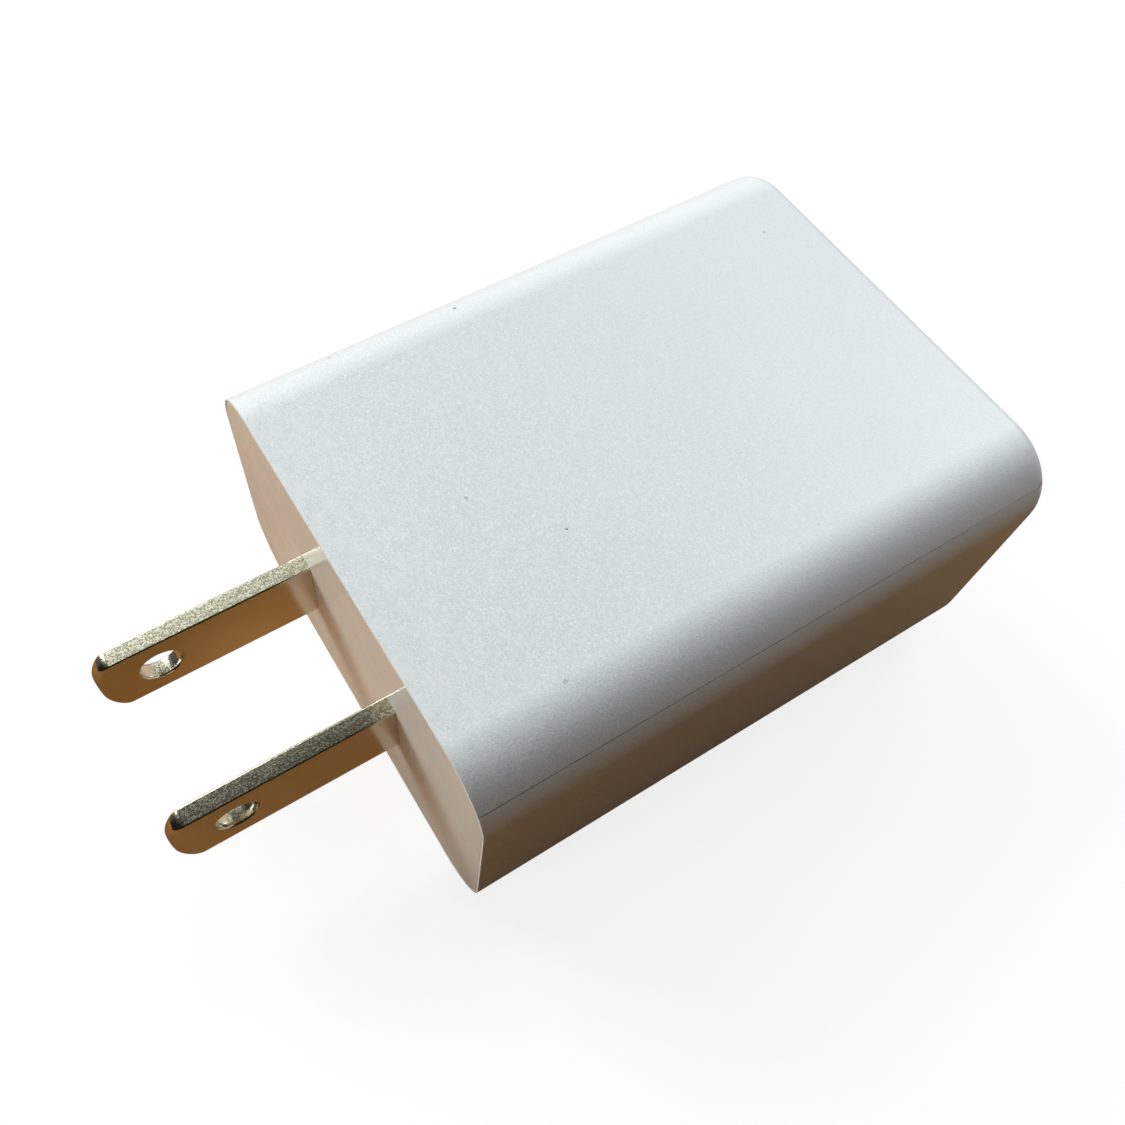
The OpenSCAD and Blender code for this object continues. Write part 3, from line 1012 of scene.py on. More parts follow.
@dataclass
class Shell:
    """The two moulded shells, which together make the rounded body."""

    width: float
    height: float
    length: float
    seam_z: float
    edge_radius: float = 5 * MM
    port_edge_radius: float = 1.2 * MM
    wall: float = 2 * MM
    port_wall: float = 1.8 * MM
    lip: float = 0.15 * MM
    plate_depth: float = 1.6 * MM
    seam_gap: float = 0.04 * MM
    rim_round: float = 0.022 * MM
    # Strength of the seam's painted shade at the plug end, and how much of it fades by the port end.
    seam_shade_peak: float = 0.9
    seam_shade_fade: float = 0.3
    port_width: float = 13.5 * MM
    port_height: float = 6.12 * MM
    port_radius: float = 0.6 * MM
    corner_steps: int = 14
    finish: bpy.types.Material = field(init=False)

    @classmethod
    def from_frame(cls) -> "Shell":
        """Takes the body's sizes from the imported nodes.

        Returns:
            The shell.
        """
        base_low, base_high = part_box("housing_base")
        lid_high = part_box("housing_lid")[1]
        return cls(width=base_high.x - base_low.x, height=lid_high.z - base_low.z,
                   length=-base_low.y, seam_z=base_high.z)

    def outline(self, inset: float, y: float) -> Loop:
        """Draws the body's outline at a place along Y, moved inwards by an inset."""
        return rounded_loop(self.width - 2 * inset, self.height - 2 * inset, self.edge_radius - inset,
                            y, self.corner_steps)

    def port_hole(self, y: float, grow: float = 0.0) -> Loop:
        """Draws the port's opening at a place along Y."""
        return rounded_loop(self.port_width + 2 * grow, self.port_height + 2 * grow,
                            self.port_radius + grow, y, self.corner_steps)

    def skin(self) -> bmesh.types.BMesh:
        """Builds the whole hollow shell before it is parted.

        Returns:
            A closed mesh: outer skin, lip, cavity and the port's opening.
        """
        end = -self.length
        back = end + self.port_wall
        loops = [self.port_hole(end, 0.12 * MM)]
        port, far = self.port_hole(end), self.outline(self.port_edge_radius, end)
        for share in (0.3, 0.65):
            loops.append([a.lerp(b, share) for a, b in zip(port, far)])
        for step in range(8, -1, -1):
            angle = math.radians(90 * step / 8)
            inset = self.port_edge_radius * (1 - math.cos(angle))
            loops.append(self.outline(inset, end + self.port_edge_radius * (1 - math.sin(angle))))
        body_steps = 6
        start = loops[-1][0].y
        loops += [self.outline(0, start * (1 - i / body_steps)) for i in range(1, body_steps + 1)]
        loops += [self.outline(self.lip, 0), self.outline(self.lip, -self.plate_depth),
                  self.outline(self.wall, -self.plate_depth), self.outline(self.wall, back),
                  self.port_hole(back), self.port_hole(end + 0.12 * MM)]
        return loft(loops, ring=True)

    def parted(self, keep_above: bool) -> bmesh.types.BMesh:
        """Cuts the skin at the parting line.

        Args:
            keep_above: Keeps what is above the line, else what is below it.

        Returns:
            A closed mesh with softened rims, whose cut faces carry a seam layer for the painted shade in the
            gap.
        """
        mesh = self.skin()
        height = self.seam_z + (self.seam_gap if keep_above else 0)
        bmesh.ops.bisect_plane(mesh, geom=[*mesh.verts, *mesh.edges, *mesh.faces], dist=1e-8,
                               plane_co=(0, 0, height), plane_no=(0, 0, 1),
                               clear_outer=not keep_above, clear_inner=keep_above)
        bmesh.ops.holes_fill(mesh, edges=[e for e in mesh.edges if e.is_boundary])
        bmesh.ops.recalc_face_normals(mesh, faces=mesh.faces)
        soften(mesh, self.rim_round)
        # Marks the cut faces for the painted seam shade, fading towards the port end.
        seam = mesh.verts.layers.float.new("seam")
        for vertex in mesh.verts:
            if abs(vertex.co.z - height) < 0.4 * self.rim_round:
                vertex[seam] = self.seam_shade_peak - self.seam_shade_fade * min(1.0, -vertex.co.y / self.length)
        return mesh

    def rails(self) -> list[bmesh.types.BMesh]:
        """Builds the two rails that carry the board along the base's sides.

        Returns:
            One mesh for each rail.
        """
        inner = self.width / 2 - self.wall
        board_low, board_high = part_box("main_board")
        made = []
        for side in (-1, 1):
            xs = sorted((side * (inner + 0.3 * MM), side * (inner - 1.4 * MM)))
            rail = block(Vector((xs[0], board_low.y, -self.height / 2 + self.wall + 2.9 * MM)),
                         Vector((xs[1], board_high.y, board_low.z)))
            soften(rail, 0.1 * MM)
            made.append(rail)
        return made

    def lips(self) -> list[bmesh.types.BMesh]:
        """Builds the lid's two locating lips.

        Returns:
            One mesh for each lip.
        """
        reach = (self.width / 2 - self.wall) - (self.edge_radius - self.wall) / 2 - 0.2 * MM
        made = []
        for side in (-1, 1):
            xs = sorted((side * reach, side * (reach - 1.1 * MM)))
            lip = block(Vector((xs[0], -self.length + self.port_wall + 3 * MM, self.seam_z - 1.3 * MM)),
                        Vector((xs[1], -7 * MM, self.height / 2 - self.wall + 0.2 * MM)))
            soften(lip, 0.12 * MM)
            made.append(lip)
        return made

    def build(self) -> None:
        """Builds both shells."""
        piece_from("housing_base_shell", merged([self.parted(False), *self.rails()]), self.finish,
                   Body.CHARGER, ["housing_base"])
        piece_from("housing_lid_shell", merged([self.parted(True), *self.lips()]), self.finish,
                   Body.CHARGER, ["housing_lid"])

    def dress(self) -> None:
        """Makes the shells' finish."""
        self.finish = MattShellFinish().build()


@dataclass
class PlugEnd:
    """The polished plate and the two blades that stand in it."""

    plate_low: Vector
    plate_high: Vector
    blade_low: Vector
    blade_high: Vector
    plate_depth: float = 1.6 * MM
    lip_cover: float = 0.25 * MM
    corner_radius: float = 4.82 * MM
    boss_inset: float = 1.87 * MM
    slot_gap: float = 0.03 * MM
    tip_radius: float = 1.5 * MM
    tip_drop: float = 2.0 * MM
    bevel_length: float = 0.9 * MM
    bevel_depth: float = 0.38 * MM
    bevel_width: float = 1.0 * MM
    edge_round: float = 0.13 * MM
    hole_radius: float = 1.6 * MM
    hole_y: float = 12.1 * MM
    hole_flare: float = 0.2 * MM
    shoulder_back: float = -5.1 * MM
    shoulder_front: float = -4.1 * MM
    tail_step: float = -6.9 * MM
    tail_width: float = 5 * MM
    plate_finish: bpy.types.Material = field(init=False)
    blade_finish: bpy.types.Material = field(init=False)

    @classmethod
    def from_frame(cls) -> "PlugEnd":
        """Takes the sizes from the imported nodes."""
        return cls(*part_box("plug_plate"), *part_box("blade_left"))

    @property
    def blade_x(self) -> float:
        """Distance of a blade's middle from the middle of the plug face."""
        return (self.blade_low.x + self.blade_high.x) / 2

    @property
    def thickness(self) -> float:
        """Thickness of a blade."""
        return self.blade_high.x - self.blade_low.x

    @property
    def blade_width(self) -> float:
        """Width of a blade outside the plug face."""
        return 6.35 * MM

    def plate(self) -> bmesh.types.BMesh:
        """Builds the plate: a front flange with a soft edge, a boss behind it, and two slots.

        Returns:
            The finished mesh.
        """
        width = self.plate_high.x - self.plate_low.x + 2 * self.lip_cover
        height = self.plate_high.z - self.plate_low.z + 2 * self.lip_cover
        back = self.plate_low.y

        def outline(inset: float, y: float) -> Loop:
            """Draws the plate's outline, moved inwards by an inset."""
            return rounded_loop(width - 2 * inset, height - 2 * inset, self.corner_radius - inset, y, 14)

        loops = [outline(self.boss_inset, back), outline(self.boss_inset, -self.plate_depth),
                 outline(0, -self.plate_depth)]
        front_round = 0.14 * MM
        for step in range(5):
            angle = math.radians(90 * step / 4)
            loops.append(outline(front_round * (1 - math.cos(angle)),
                                 -front_round * (1 - math.sin(angle))))
        plate = loft(loops)
        cutters = [block(Vector((side * self.blade_x - self.thickness / 2 - self.slot_gap, back - MM,
                                 -self.blade_width / 2 - self.slot_gap)),
                         Vector((side * self.blade_x + self.thickness / 2 + self.slot_gap, MM,
                                 self.blade_width / 2 + self.slot_gap))) for side in (-1, 1)]
        return carved(plate, cutters)

    def blade_section(self, y: float, half_width: float, half_thickness: float, bevel: float = 0.0) -> Loop:
        """Draws a blade's cross-section at a place along Y.

        Args:
            y: The place.
            half_width: Half its size along Z.
            half_thickness: Half its size along X.
            bevel: 0 for the blade's plain broken edges, up to 1 for the full bevel round the tip.

        Returns:
            The section's points.
        """
        deep = min(self.edge_round + (self.bevel_depth - self.edge_round) * bevel, 0.8 * half_thickness)
        wide = self.edge_round + (self.bevel_width - self.edge_round) * bevel
        loop, steps = [], 5
        for quarter, (sx, sz) in enumerate(((1, 1), (-1, 1), (-1, -1), (1, -1))):
            for i in range(steps + 1):
                angle = math.radians(90 * (quarter + i / steps))
                loop.append(Vector((sx * (half_thickness - deep) + deep * math.cos(angle), y,
                                    sz * (half_width - wide) + wide * math.sin(angle))))
        return loop

    def blade(self) -> bmesh.types.BMesh:
        """Builds a blade about the Y axis, from its tail to its rounded, bevelled tip.

        Returns:
            The finished mesh.
        """
        tip = self.blade_high.y
        half, thin = self.blade_width / 2, self.thickness / 2
        shoulder = self.blade_high.z
        tail = self.blade_low.y
        loops = [self.blade_section(y, w, thin) for y, w in (
            (tail, self.tail_width / 2 - 0.2 * MM), (tail + 0.2 * MM, self.tail_width / 2),
            (self.tail_step - 0.3 * MM, self.tail_width / 2), (self.tail_step, half),
            (self.shoulder_back, half), (self.shoulder_back, shoulder), (self.shoulder_front, shoulder),
            (self.shoulder_front, half), (0.0, half), (tip / 3, half), (tip - self.tip_radius, half))]
        steps = 14
        for step in range(1, steps + 1):
            angle = math.radians(90 * step / steps)
            y = tip - self.tip_radius + self.tip_radius * math.sin(angle)
            width = half - self.tip_drop * (1 - math.cos(angle))
            share = 0.5 - 0.5 * math.cos(min(1.0, 2.0 * step / steps) * math.pi)
            into = max(0.0, y - (tip - self.bevel_length)) / self.bevel_length
            loops.append(self.blade_section(y, width, thin - 0.8 * self.bevel_depth * into ** 2, share))
        return carved(loft(loops), [self.hole_cutter()])

    def hole_cutter(self) -> bmesh.types.BMesh:
        """Builds the cutter for a blade's hole, which flares at both faces for a rolled edge.

        Returns:
            The finished mesh.
        """
        flare, thin = self.hole_flare, self.thickness / 2
        profile = []
        for step in range(8):
            angle = math.radians(80 * step / 7)
            profile.append((self.hole_radius + flare * (1 - math.cos(angle)),
                            thin - flare + flare * math.sin(angle)))
        profile.append((profile[-1][0] + 0.1 * MM, thin + 0.02 * MM))
        profile.append((profile[-1][0], thin + MM))
        whole = [(radius, -height) for radius, height in reversed(profile)] + profile
        cutter = turned(whole, 64)
        return place(cutter, shift(y=self.hole_y) @ Matrix.Rotation(math.radians(90), 4, "Y"))

    def build(self) -> None:
        """Builds the plate and both blades."""
        piece_from("plug_end_plate", self.plate(), self.plate_finish, Body.CHARGER,
                   ["plug_plate"])
        for name, side, node in (("plug_blade_left", 1, "blade_left"),
                                 ("plug_blade_right", -1, "blade_right")):
            blade = place(self.blade(), shift(x=side * self.blade_x))
            piece_from(name, blade, self.blade_finish, Body.CHARGER, [node])

    def dress(self) -> None:
        """Makes the finishes."""
        self.plate_finish = PolishedFaceFinish().build()
        self.blade_finish = PlatedBladeFinish().build()


# ---------------------------------------------------------------- the port


@dataclass
class UsbPort:
    """The port in the far end: folded metal shell, insulator, solder tails and four spring leaves."""

    low: Vector
    high: Vector
    wall: float = 0.3 * MM
    corner: float = 0.7 * MM
    mouth_round: float = 0.12 * MM
    spring_x: float = 2.95 * MM
    spring_width: float = 1.7 * MM
    spring_length: float = 5.6 * MM
    spring_dip: float = 0.42 * MM
    window_margin: float = 0.25 * MM
    tongue_half: float = 5.55 * MM
    tongue_thick: float = 1.84 * MM
    groove_width: float = 1.5 * MM
    groove_depth: float = 1.15 * MM
    metal: bpy.types.Material = field(init=False)
    plastic: bpy.types.Material = field(init=False)
    gold: bpy.types.Material = field(init=False)

    @classmethod
    def from_frame(cls) -> "UsbPort":
        """Takes the port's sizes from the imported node."""
        return cls(*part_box("port_shell"))

    def section(self, inset: float, y: float) -> Loop:
        """Draws the shell's outline at a place along Y, moved inwards by an inset."""
        size = self.high - self.low
        return rounded_loop(size.x - 2 * inset, size.z - 2 * inset, max(self.corner - inset, 0.3 * MM), y, 6)

    def retention_spring(self, side: int, up: int) -> bmesh.types.BMesh:
        """Builds one sprung tongue that is cut from the shell's upper or lower wall.

        Args:
            side: 1 or -1, which half of the wall.
            up: 1 for the upper wall, -1 for the lower one.

        Returns:
            The tongue as a closed strip, which starts in the wall and dips into the port.
        """
        middle = up * (self.high.z - self.wall / 2)
        start = self.low.y + 8.6 * MM
        rows = ((0.25, 0.0), (-1.2, 0.0), (-3.0, 0.55), (-4.3, 1.0), (-5.0, 0.8), (-5.5, 0.35))
        path = [Vector((side * self.spring_x, start + y * MM, middle - up * share * self.spring_dip))
                for y, share in rows]
        return strip(eased(path), self.spring_width, self.wall * 0.9)

    def shell(self) -> bmesh.types.BMesh:
        """Builds the shell: a rounded cup with a softened mouth, four spring windows and a fold seam.

        Returns:
            The finished mesh.
        """
        front, back, wall = self.low.y, self.high.y, self.wall
        soft = self.mouth_round
        loops = [self.section(soft, back), self.section(0, back - soft), self.section(0, front + soft),
                 self.section(0.3 * soft, front + 0.3 * soft), self.section(soft, front),
                 self.section(wall - 0.5 * soft, front), self.section(wall, front + 2.5 * soft),
                 self.section(wall, back - wall)]
        start = front + 8.6 * MM
        half = self.spring_width / 2 + self.window_margin
        windows = []
        for side in (-1, 1):
            for up in (-1, 1):
                zs = sorted((up * (self.high.z - 2 * wall), up * (self.high.z + wall)))
                windows.append(block(Vector((side * self.spring_x - half, start - self.spring_length,
                                             zs[0])),
                                     Vector((side * self.spring_x + half, start, zs[1]))))
        seam = block(Vector((-0.04 * MM, front - wall, self.low.z - wall)),
                     Vector((0.04 * MM, back + wall, self.low.z + 0.14 * MM)))
        cup = carved(loft(loops), [*windows, seam])
        springs = [self.retention_spring(side, up) for side in (-1, 1) for up in (-1, 1)]
        return merged([cup, *springs])

    def insulator(self) -> bmesh.types.BMesh:
        """Builds the rear block and the tongue, with a groove for each spring leaf.

        Returns:
            The finished mesh.
        """
        low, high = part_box("port_insulator")
        leaf_low, leaf_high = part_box("port_contact_1")
        size = high - low
        block_front = leaf_high.y + 0.15 * MM
        rear = loft([rounded_loop(size.x, size.z, 0.4 * MM, y, 5) for y in (high.y, block_front)])
        top = 1.81 * MM
        tongue = block(Vector((-self.tongue_half, low.y, top - self.tongue_thick)),
                       Vector((self.tongue_half, block_front + 0.2 * MM, top)))
        soften(rear, 0.1 * MM)
        soften(tongue, 0.22 * MM, 3)
        cutters = []
        for number in range(1, 5):
            near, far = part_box(f"port_contact_{number}")
            x = (near.x + far.x) / 2
            cutters.append(block(Vector((x - self.groove_width / 2, leaf_low.y - 0.4 * MM, top - 3 * MM)),
                                 Vector((x + self.groove_width / 2, block_front,
                                         top - self.tongue_thick + self.groove_depth))))
        return merged([rear, carved(tongue, cutters)])

    def leaf(self, node: str) -> bmesh.types.BMesh:
        """Builds one spring leaf, which dips towards the plug's side and turns up at its tip.

        Args:
            node: The leaf node that it stands for.

        Returns:
            The finished mesh.
        """
        low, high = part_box(node)
        thin = 0.25 * MM
        x = (low.x + high.x) / 2
        rows = ((high.y - 0.02 * MM, high.z - 0.6 * thin), (low.y + 5.6 * MM, high.z - 2.1 * thin),
                (low.y + 2.3 * MM, low.z + 0.75 * thin), (low.y + 1.7 * MM, low.z + 0.4 * thin),
                (low.y + 1.1 * MM, low.z + 0.75 * thin), (low.y + 0.12 * MM, low.z + 2.45 * thin))
        path = eased([Vector((x, y, z)) for y, z in rows], 3)
        return strip(path, high.x - low.x, thin * 0.9)

    def tails(self) -> bmesh.types.BMesh:
        """Builds the four solder tails, which come out of the block and run straight down to the board.

        Returns:
            The finished mesh.
        """
        low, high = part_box("port_contact_tails")
        made = []
        for number in range(1, 5):
            near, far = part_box(f"port_contact_{number}")
            x = (near.x + far.x) / 2
            middle = (low.y + high.y) / 2
            path = [Vector((x, middle, high.z)), Vector((x, middle, 0.0)), Vector((x, middle, low.z))]
            made.append(strip(path, 0.7 * MM, 0.28 * MM))
        return merged(made)

    def dress(self) -> None:
        """Makes the finishes."""
        self.metal = BareMetalFinish("port_shell_nickel", (0.66, 0.65, 0.62), (0.50, 0.485, 0.455),
                                     0.24).build()
        self.plastic = PlainPlasticFinish("port_insulator_resin", (0.022, 0.023, 0.026),
                                          (0.035, 0.035, 0.038),
                                          0.42).build()
        self.gold = BareMetalFinish("contact_gold_plate", (0.93, 0.66, 0.30), (0.80, 0.53, 0.21),
                                    0.17).build()

    def build(self) -> None:
        """Builds the port's pieces."""
        piece_from("usb_port_shell", self.shell(), self.metal, Body.CHARGER, ["port_shell"])
        piece_from("usb_port_insulator", self.insulator(), self.plastic, Body.CHARGER,
                   ["port_insulator"])
        piece_from("usb_port_tails", self.tails(), self.gold, Body.CHARGER,
                   ["port_contact_tails"])
        leaves = (Body.CONTACT_1, Body.CONTACT_2, Body.CONTACT_3, Body.CONTACT_4)
        for number, body in enumerate(leaves, 1):
            node = f"port_contact_{number}"
            piece_from(f"usb_leaf_{number}", self.leaf(node), self.gold, body, [node])


# ---------------------------------------------------------------- the power supply


@dataclass
class BladeFixings:
    """The block that locks the blades and the sprung strips that join them to the board."""

    plastic: bpy.types.Material = field(init=False)
    bronze: bpy.types.Material = field(init=False)

    def dress(self) -> None:
        """Makes the finishes."""
        self.plastic = PlainPlasticFinish("retainer_nylon", (0.60, 0.59, 0.55), (0.66, 0.65, 0.61),
                                          0.5).build()
        self.bronze = BareMetalFinish("spring_bronze", (0.80, 0.58, 0.32), (0.62, 0.42, 0.22), 0.26).build()

    def retainer(self) -> bmesh.types.BMesh:
        """Builds the block with its two slots and a shallow pocket between them.

        Returns:
            The finished mesh.
        """
        low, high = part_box("blade_retainer")
        blade_low, blade_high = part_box("blade_left")
        body = block(low, high)
        soften(body, 0.25 * MM, 3)
        gap, half = 0.03 * MM, 3.175 * MM
        cutters = []
        for side in (-1, 1):
            xs = sorted((side * (blade_low.x - gap), side * (blade_high.x + gap)))
            cutters.append(block(Vector((xs[0], low.y - MM, -half - gap)),
                                 Vector((xs[1], high.y + MM, half + gap))))
        pocket = block(Vector((-4 * MM, low.y - MM, -3 * MM)), Vector((4 * MM, low.y + 0.7 * MM, 3 * MM)))
        soften(pocket, 0.3 * MM, 3)
        return carved(body, [*cutters, pocket])

    def spring(self, node: str) -> bmesh.types.BMesh:
        """Builds one L-shaped strip: a foot on the board and a bowed arm up to the blade's tail.

        Args:
            node: The node that it stands for.

        Returns:
            The finished mesh.
        """
        low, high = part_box(node)
        side = 1 if high.x > 0 else -1
        inner, outer = (low.x, high.x) if side > 0 else (high.x, low.x)
        half = 0.14 * MM
        arm = outer - side * half
        y = (low.y + high.y) / 2
        rows = [(inner, low.z + half), (arm - side * 0.6 * MM, low.z + half),
                (arm - side * 0.05 * MM, low.z + 0.5 * MM),
                (arm - side * 0.12 * MM, low.z + 1.8 * MM), (arm, high.z - 1.0 * MM),
                (arm - side * 0.1 * MM, high.z)]
        path = eased([Vector((x, y, z)) for x, z in rows])
        return strip(path, high.y - low.y, 2 * half, across=Vector((0, 1, 0)))

    def build(self) -> None:
        """Builds the pieces."""
        piece_from("blade_retainer_block", self.retainer(), self.plastic, Body.CHARGER,
                   ["blade_retainer"])
        for name in ("left", "right"):
            node = f"spring_contact_{name}"
            piece_from(f"blade_spring_{name}", self.spring(node), self.bronze, Body.CHARGER,
                       [node])


@dataclass(frozen=True)
class Chip:
    """A moulded chip: its node, the count of legs on each side and its body's height."""

    node: str
    legs: int
    body_height: float
    hangs: bool = True


@dataclass
class Circuit:
    """The circuit board with its film, solder joints, chips and small surface parts."""

    nodes: dict
    chips: tuple[Chip, ...] = (Chip("bridge_rectifier", 2, 2.4 * MM), Chip("controller_chip", 4, 1.5 * MM),
                               Chip("output_rectifier", 1, 2.1 * MM),
                               Chip("feedback_optocoupler", 2, 3.1 * MM, hangs=False))
    leg_reach: float = 0.8 * MM
    mask: bpy.types.Material = field(init=False)
    film: bpy.types.Material = field(init=False)
    resin: bpy.types.Material = field(init=False)
    tin: bpy.types.Material = field(init=False)
    ceramic: bpy.types.Material = field(init=False)

    def dress(self) -> None:
        """Makes the finishes."""
        self.mask = SolderMaskFinish().build()
        self.film = PlainPlasticFinish("insulation_film", (0.62, 0.53, 0.26), (0.70, 0.61, 0.33), 0.22,
                                       grain_size=1.2 * MM, grain_depth=0.05 * MM).build()
        self.resin = PlainPlasticFinish("chip_resin", (0.020, 0.020, 0.022), (0.034, 0.034, 0.036), 0.46,
                                        grain_size=0.09 * MM).build()
        self.tin = BareMetalFinish("tinned_solder", (0.70, 0.70, 0.69), (0.52, 0.52, 0.51), 0.28).build()
        self.ceramic = PlainPlasticFinish("surface_ceramic", (0.23, 0.17, 0.12), (0.05, 0.05, 0.055), 0.4,
                                          drift_size=6 * MM).build()

    def board(self) -> bmesh.types.BMesh:
        """Builds the board with routed edges and two round notches at its front corners.

        Returns:
            The finished mesh.
        """
        low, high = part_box("main_board")
        body = block(low, high)
        soften(body, 0.12 * MM)
        notches = []
        for side in (-1, 1):
            notch = turned([(1.5 * MM, low.z - MM), (1.5 * MM, high.z + MM)], 32)
            notches.append(place(notch, shift(side * (high.x + 0.4 * MM), high.y - 2.0 * MM)))
        return carved(body, notches)

    def insulation(self) -> bmesh.types.BMesh:
        """Builds the film with a slight wave, inside the space of its node.

        Returns:
            The finished mesh.
        """
        low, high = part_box("insulation_sheet")
        thin = 0.09 * MM
        rows = 28
        loops = []
        for i in range(rows + 1):
            y = low.y + (high.y - low.y) * i / rows
            rise = 0.5 + 0.5 * math.sin(2.6 * math.pi * i / rows + 0.7)
            base = low.z + (high.z - low.z - thin) * (0.1 + 0.8 * rise)
            loops.append([Vector((x, y, z)) for x,
                          z in ((low.x, base), (high.x, base), (high.x, base + thin),
                                                         (low.x, base + thin))])
        return loft(loops)

    def joints(self) -> bmesh.types.BMesh:
        """Builds the solder joints under the leads that the board carries.

        Returns:
            The finished mesh.
        """
        low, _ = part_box("main_board")
        spots = []
        for node, spread in (("fusible_resistor", 5.1), ("surge_varistor", 2.1), ("safety_capacitor", 2.1),
                             ("line_choke", 2.2), ("output_capacitor_left", 1.25),
                             ("output_capacitor_right", 1.25)):
            near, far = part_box(node)
            middle = (near + far) / 2
            spots += [(middle.x + side * spread * MM, middle.y) for side in (-1, 1)]
        for node in ("bulk_capacitor_inner", "bulk_capacitor_outer"):
            near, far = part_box(node)
            spots += [((near.x + far.x) / 2 + side * 1.75 * MM, far.y - 0.3 * MM) for side in (-1, 1)]
        for number in range(1, 5):
            near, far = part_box(f"port_contact_{number}")
            tail_low, tail_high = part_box("port_contact_tails")
            spots.append(((near.x + far.x) / 2, (tail_low.y + tail_high.y) / 2))
        dome = ((0.75, 0.0), (0.72, -0.06), (0.5, -0.2), (0.34, -0.42), (0.28, -0.62), (0.0, -0.66))
        profile = [(radius * MM, low.z + height * MM) for radius, height in dome]
        return merged([place(turned(profile, 20), shift(x, y)) for x, y in spots])

    def chip_body(self, chip: Chip) -> bmesh.types.BMesh:
        """Builds a chip's body with drafted sides and a dimple by its first leg.

        Args:
            chip: The chip's node and legs.

        Returns:
            The finished mesh.
        """
        low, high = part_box(chip.node)
        half_x = (high.x - low.x) / 2 - self.leg_reach
        size_y = high.y - low.y
        middle = (low + high) / 2
        face = low.z if chip.hangs else high.z
        inwards = 1 if chip.hangs else -1
        draft = 0.12 * MM
        loops = []
        for share, inset in ((0.0, draft), (0.5, 0.0), (1.0, draft)):
            z = face + inwards * share * chip.body_height
            loops.append([Vector((middle.x + sx * (half_x - inset), middle.y + sy * (size_y / 2 - inset), z))
                          for sx, sy in ((1, 1), (-1, 1), (-1, -1), (1, -1))])
        body = loft(loops)
        soften(body, 0.05 * MM, 2, 20)
        dimple = place(turned([(0.3 * MM, -0.1 * MM), (0.3 * MM, 0.1 * MM)], 24),
                       shift(middle.x - half_x + 0.75 * MM, high.y - 0.75 * MM, face))
        return carved(body, [dimple])

    def chip_legs(self, chip: Chip) -> bmesh.types.BMesh:
        """Builds a chip's legs, which come out at half height and turn down to the board.

        Args:
            chip: The chip's node and legs.

        Returns:
            The finished mesh.
        """
        low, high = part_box(chip.node)
        middle = (low + high) / 2
        face = low.z if chip.hangs else high.z
        inwards = 1 if chip.hangs else -1
        board = high.z if chip.hangs else low.z
        root = face + inwards * chip.body_height / 2
        pitch = (high.y - low.y) / (chip.legs + 0.4)
        edge = (high.x - low.x) / 2
        made = []
        for side in (-1, 1):
            for number in range(chip.legs):
                y = middle.y + (number - (chip.legs - 1) / 2) * pitch
                rows = ((edge - 0.95 * MM, root), (edge - 0.3 * MM, root),
                        (edge - 0.12 * MM, (root + board) / 2),
                        (edge - 0.1 * MM, board))
                path = eased([Vector((middle.x + side * x, y, z)) for x, z in rows])
                made.append(strip(path, 0.4 * MM, 0.18 * MM, across=Vector((0, 1, 0))))
        return merged(made)

    def build(self) -> None:
        """Builds the pieces."""
        piece_from("circuit_board", self.board(), self.mask, Body.CHARGER, ["main_board"])
        piece_from("board_solder_joints", self.joints(), self.tin, Body.CHARGER)
        piece_from("board_insulation_film", self.insulation(), self.film, Body.CHARGER,
                   ["insulation_sheet"])
        for chip in self.chips:
            piece_from(f"{chip.node}_body", self.chip_body(chip), self.resin, Body.CHARGER,
                       [chip.node])
            piece_from(f"{chip.node}_legs", self.chip_legs(chip), self.tin, Body.CHARGER,
                       [chip.node])
        dressed(self.nodes["surface_parts"], self.ceramic, 0.06 * MM)


